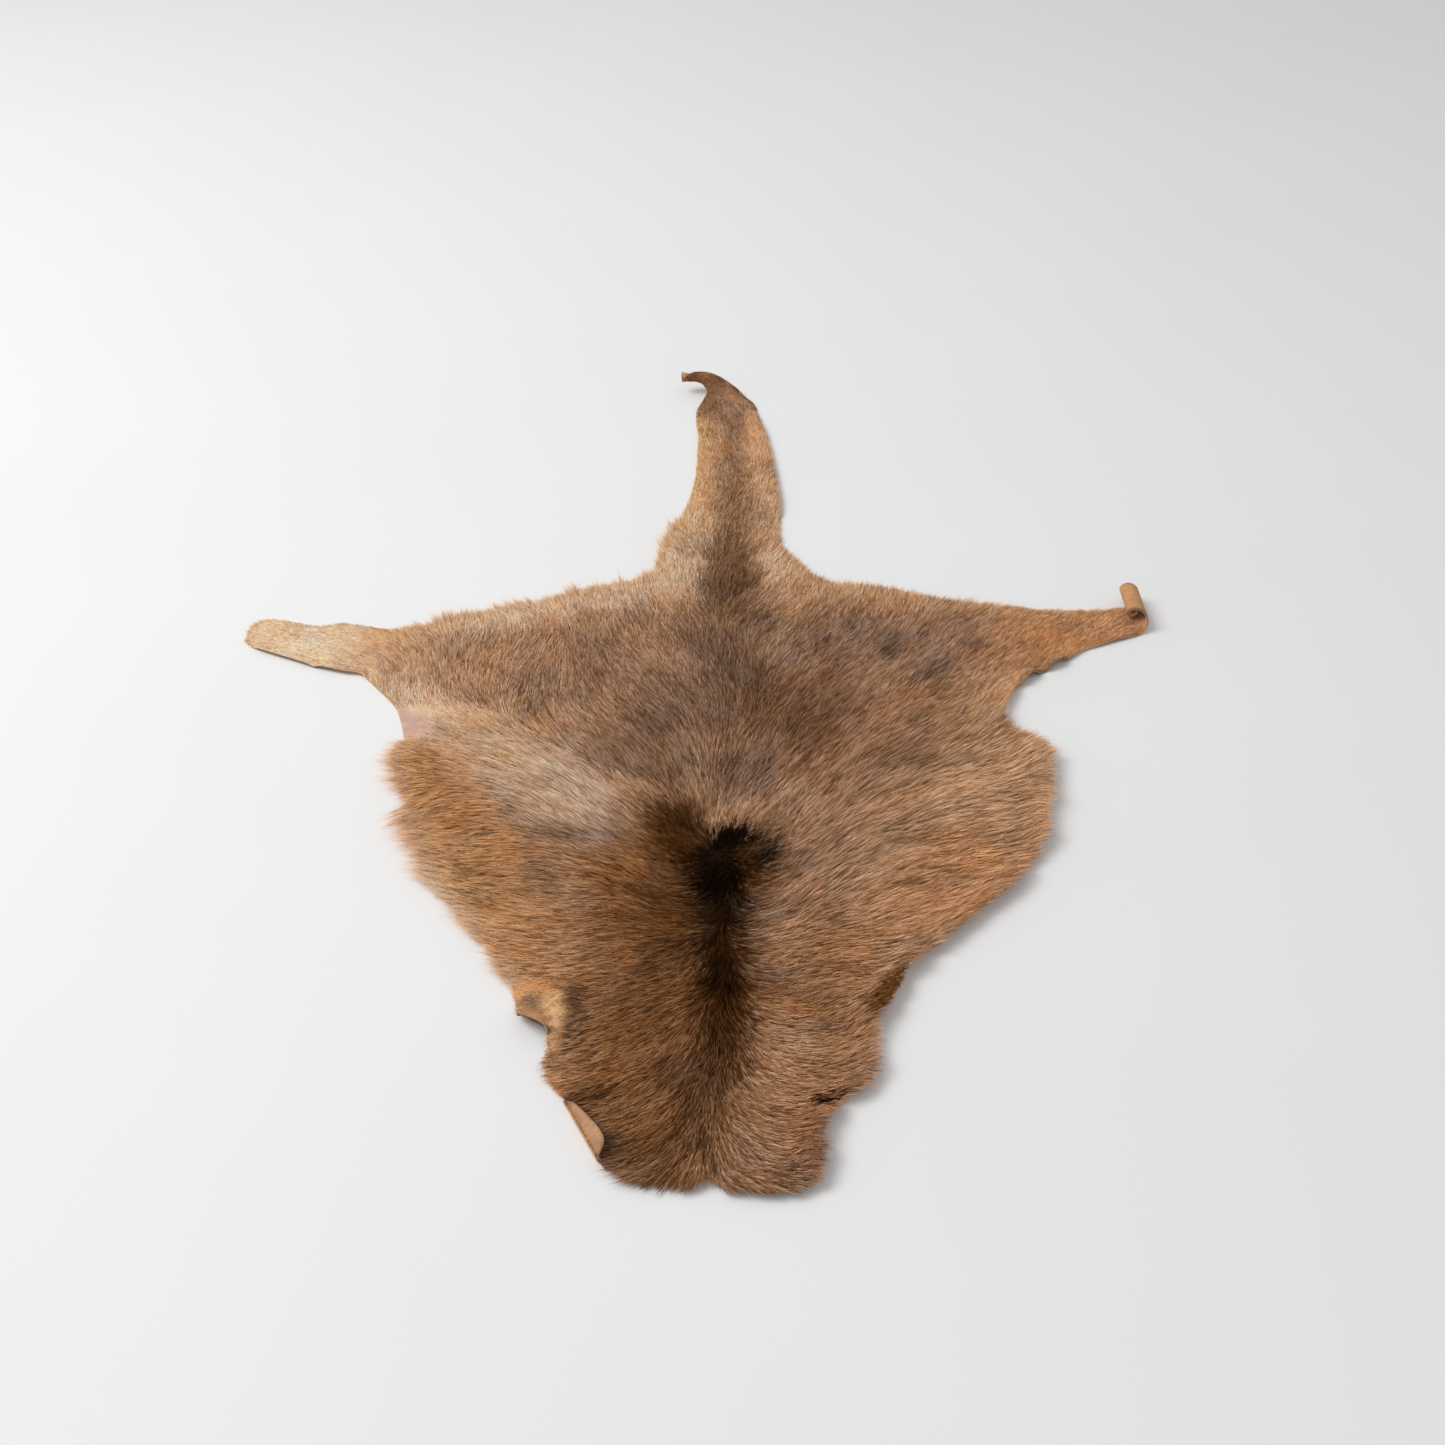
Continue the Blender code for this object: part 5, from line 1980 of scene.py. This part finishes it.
@dataclass
class Fringe(Fur):
    """The long thin hairs that reach past the rim all round."""

    width: float = 0.00020
    width_share: float = 0.004
    lock_spacing: float = 0.0022
    gather: Pair = (0.10, 0.36)
    # The rim's hair gets a paler, stronger painted glow
    painted_glow_tone: Tone = Tone.BLUSH
    painted_glow_share: float = 0.9
    liveliness: float = 0.5
    # How far inside the rim the hairs grow, for this length of hair, and the least share of that
    reach_in: float = 0.011
    reach_length: float = 0.016
    least_reach: float = 0.3
    # How much longer than the coat the hairs are, and by how much more where the hair gets the painted glow
    extra: Pair = (0.98, 0.60)
    uneven: float = 0.45
    uneven_cell: float = 0.010
    own_uneven: float = 0.25
    # The rim's hair ends this far before the strip's fold line, and before the start of the roll
    strip_margin: float = 0.004
    roll_margin: float = -0.01

    def roots(self, rng: np.random.Generator) -> np.ndarray:
        """Flat points a little inside the rim, where the hair runs out over it.

        Args:
            rng: Source of the random draws.

        Returns:
            The points, one a row.
        """
        rim = self.skin.points[: self.skin.rim_count]
        ahead = np.roll(rim, -1, axis=0) - rim
        outward = np.stack((ahead[:, 1], -ahead[:, 0]), axis=1)
        length, _, _, number = self.coat.fur(rim)
        along = (facing(self.coat.headings(rim)) * outward).sum(axis=1)
        weight = np.clip(along, 0.0, None) * number
        weight[rim[:, 1] >= self.drawing.horn.start] = 0.0
        weight[self.drawing.strip.holds(rim, self.strip_margin)] = 0.0
        weight[rim[:, 0] > self.drawing.scroll.start + self.roll_margin] = 0.0
        chosen = rng.choice(len(rim), self.zone.hairs, p=weight / weight.sum())
        roots = rim[chosen] + ahead[chosen] * rng.random((self.zone.hairs, 1))
        share = np.clip(length[chosen] / self.reach_length, self.least_reach, 1.0)
        depth = self.reach_in * rng.random(self.zone.hairs) * share
        return self.in_rows(roots - unit(outward[chosen]) * depth[:, None])

    def spines(self, rng: np.random.Generator) -> tuple[np.ndarray, np.ndarray, np.ndarray]:
        """The hairs' lines, longer than those of the coat behind them, in uneven tufts.

        Args:
            rng: Source of the random draws.

        Returns:
            The points of each line from root to tip, the roots' flat places and each hair's colour.
        """
        lines, roots, colours = super().spines(rng)
        stretch = self.extra[0] + self.extra[1] * np.maximum(self.skin.painted_glow(roots), 0.0)
        tufts = self.uneven * Grain(self.uneven_cell, Seed.TUFTS).at(roots)
        stretch *= 1.0 + tufts + rng.uniform(-self.own_uneven, self.own_uneven, len(lines))
        lines = lines[:, :1] + (lines - lines[:, :1]) * stretch[:, None, None]
        return lines, roots, colours


@dataclass(frozen=True)
class Studio:
    """The pale floor, the soft light and the camera."""

    eye: Triple = (0.0281, -1.2996, 1.036)
    pitch: float = 40.3
    focal_px: float = 1549.0
    frame_px: float = 1445.0
    sensor: float = 36.0
    floor_size: float = 14.0
    floor_place: Triple = (0.0, 2.0, 0.0)
    floor_greys: Pair = (0.86, 0.89)
    floor_scale: float = 3.0
    floor_roughness: float = 0.7
    floor_gloss: float = 0.2
    lamp_place: Triple = (-3.0, 0.15, 3.7)
    lamp_size: float = 2.6
    lamp_power: float = 138.0
    sky: float = 0.51

    def floor(self) -> bpy.types.Object:
        """Makes the plain pale floor.

        Returns:
            The floor's object.
        """
        bpy.ops.object.select_all(action="DESELECT")
        bpy.ops.mesh.primitive_plane_add(size=self.floor_size, location=self.floor_place)
        floor = bpy.context.object
        floor.name = "floor"
        bpy.ops.object.transform_apply(location=True)
        material, shader, surface = new_material("floor")
        faint = shader.noise(shader.place(), self.floor_scale, 3.0)
        dark, light = ((grey, grey, grey, 1.0) for grey in self.floor_greys)
        shader.put(
            surface,
            Base_Color=shader.mix(faint, dark, light),
            Roughness=self.floor_roughness,
            Specular_IOR_Level=self.floor_gloss,
        )
        floor.data.materials.append(material)
        return floor

    def lamp(self) -> None:
        """Hangs a square soft lamp that faces the rug."""
        light = bpy.data.lights.new("key", "AREA")
        light.shape = "SQUARE"
        light.size = self.lamp_size
        light.energy = self.lamp_power
        lamp = bpy.data.objects.new("key", light)
        lamp.location = self.lamp_place
        lamp.rotation_euler = (-Vector(self.lamp_place)).to_track_quat("-Z", "Y").to_euler()
        bpy.context.scene.collection.objects.link(lamp)

    def build(self) -> None:
        """Sets up floor, light and camera."""
        self.floor()
        self.lamp()
        world = bpy.data.worlds.new("studio")
        world.use_nodes = True
        background = world.node_tree.nodes["Background"]
        Shader(world.node_tree).put(background, Color=(1.0, 1.0, 1.0, 1.0), Strength=self.sky)
        bpy.context.scene.world = world
        bpy.context.scene.view_settings.view_transform = "Standard"
        camera = bpy.data.objects.new("camera", bpy.data.cameras.new("camera"))
        camera.data.sensor_width = self.sensor
        camera.data.lens = self.focal_px / self.frame_px * self.sensor
        camera.location = self.eye
        camera.rotation_euler = (math.radians(90.0 - self.pitch), 0.0, 0.0)
        bpy.context.scene.collection.objects.link(camera)
        bpy.context.scene.camera = camera


def main() -> None:
    """Builds the rug and the studio, and reports each piece."""
    logging.basicConfig(level=logging.INFO, format="%(name)s: %(message)s")
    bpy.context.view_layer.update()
    Studio().build()
    drawing, coat = Drawing(), Coat()
    skin = Skin(drawing, coat)
    sheet = skin.build()
    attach(sheet, "root")
    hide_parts("hide")
    log.info("%s: %d faces", sheet.name, len(sheet.data.polygons))
    hair = FurFinish().make()
    for seed, zone in enumerate((*ZONES, RIM_ZONE)):
        kind = Fringe if zone is RIM_ZONE else Fur
        fur = kind(zone, skin, coat, drawing, Seed.HAIRS + seed).build(hair)
        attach(fur, "root")
        log.info("%s: %d faces", fur.name, len(fur.data.polygons))


if __name__ == "__main__":
    main()
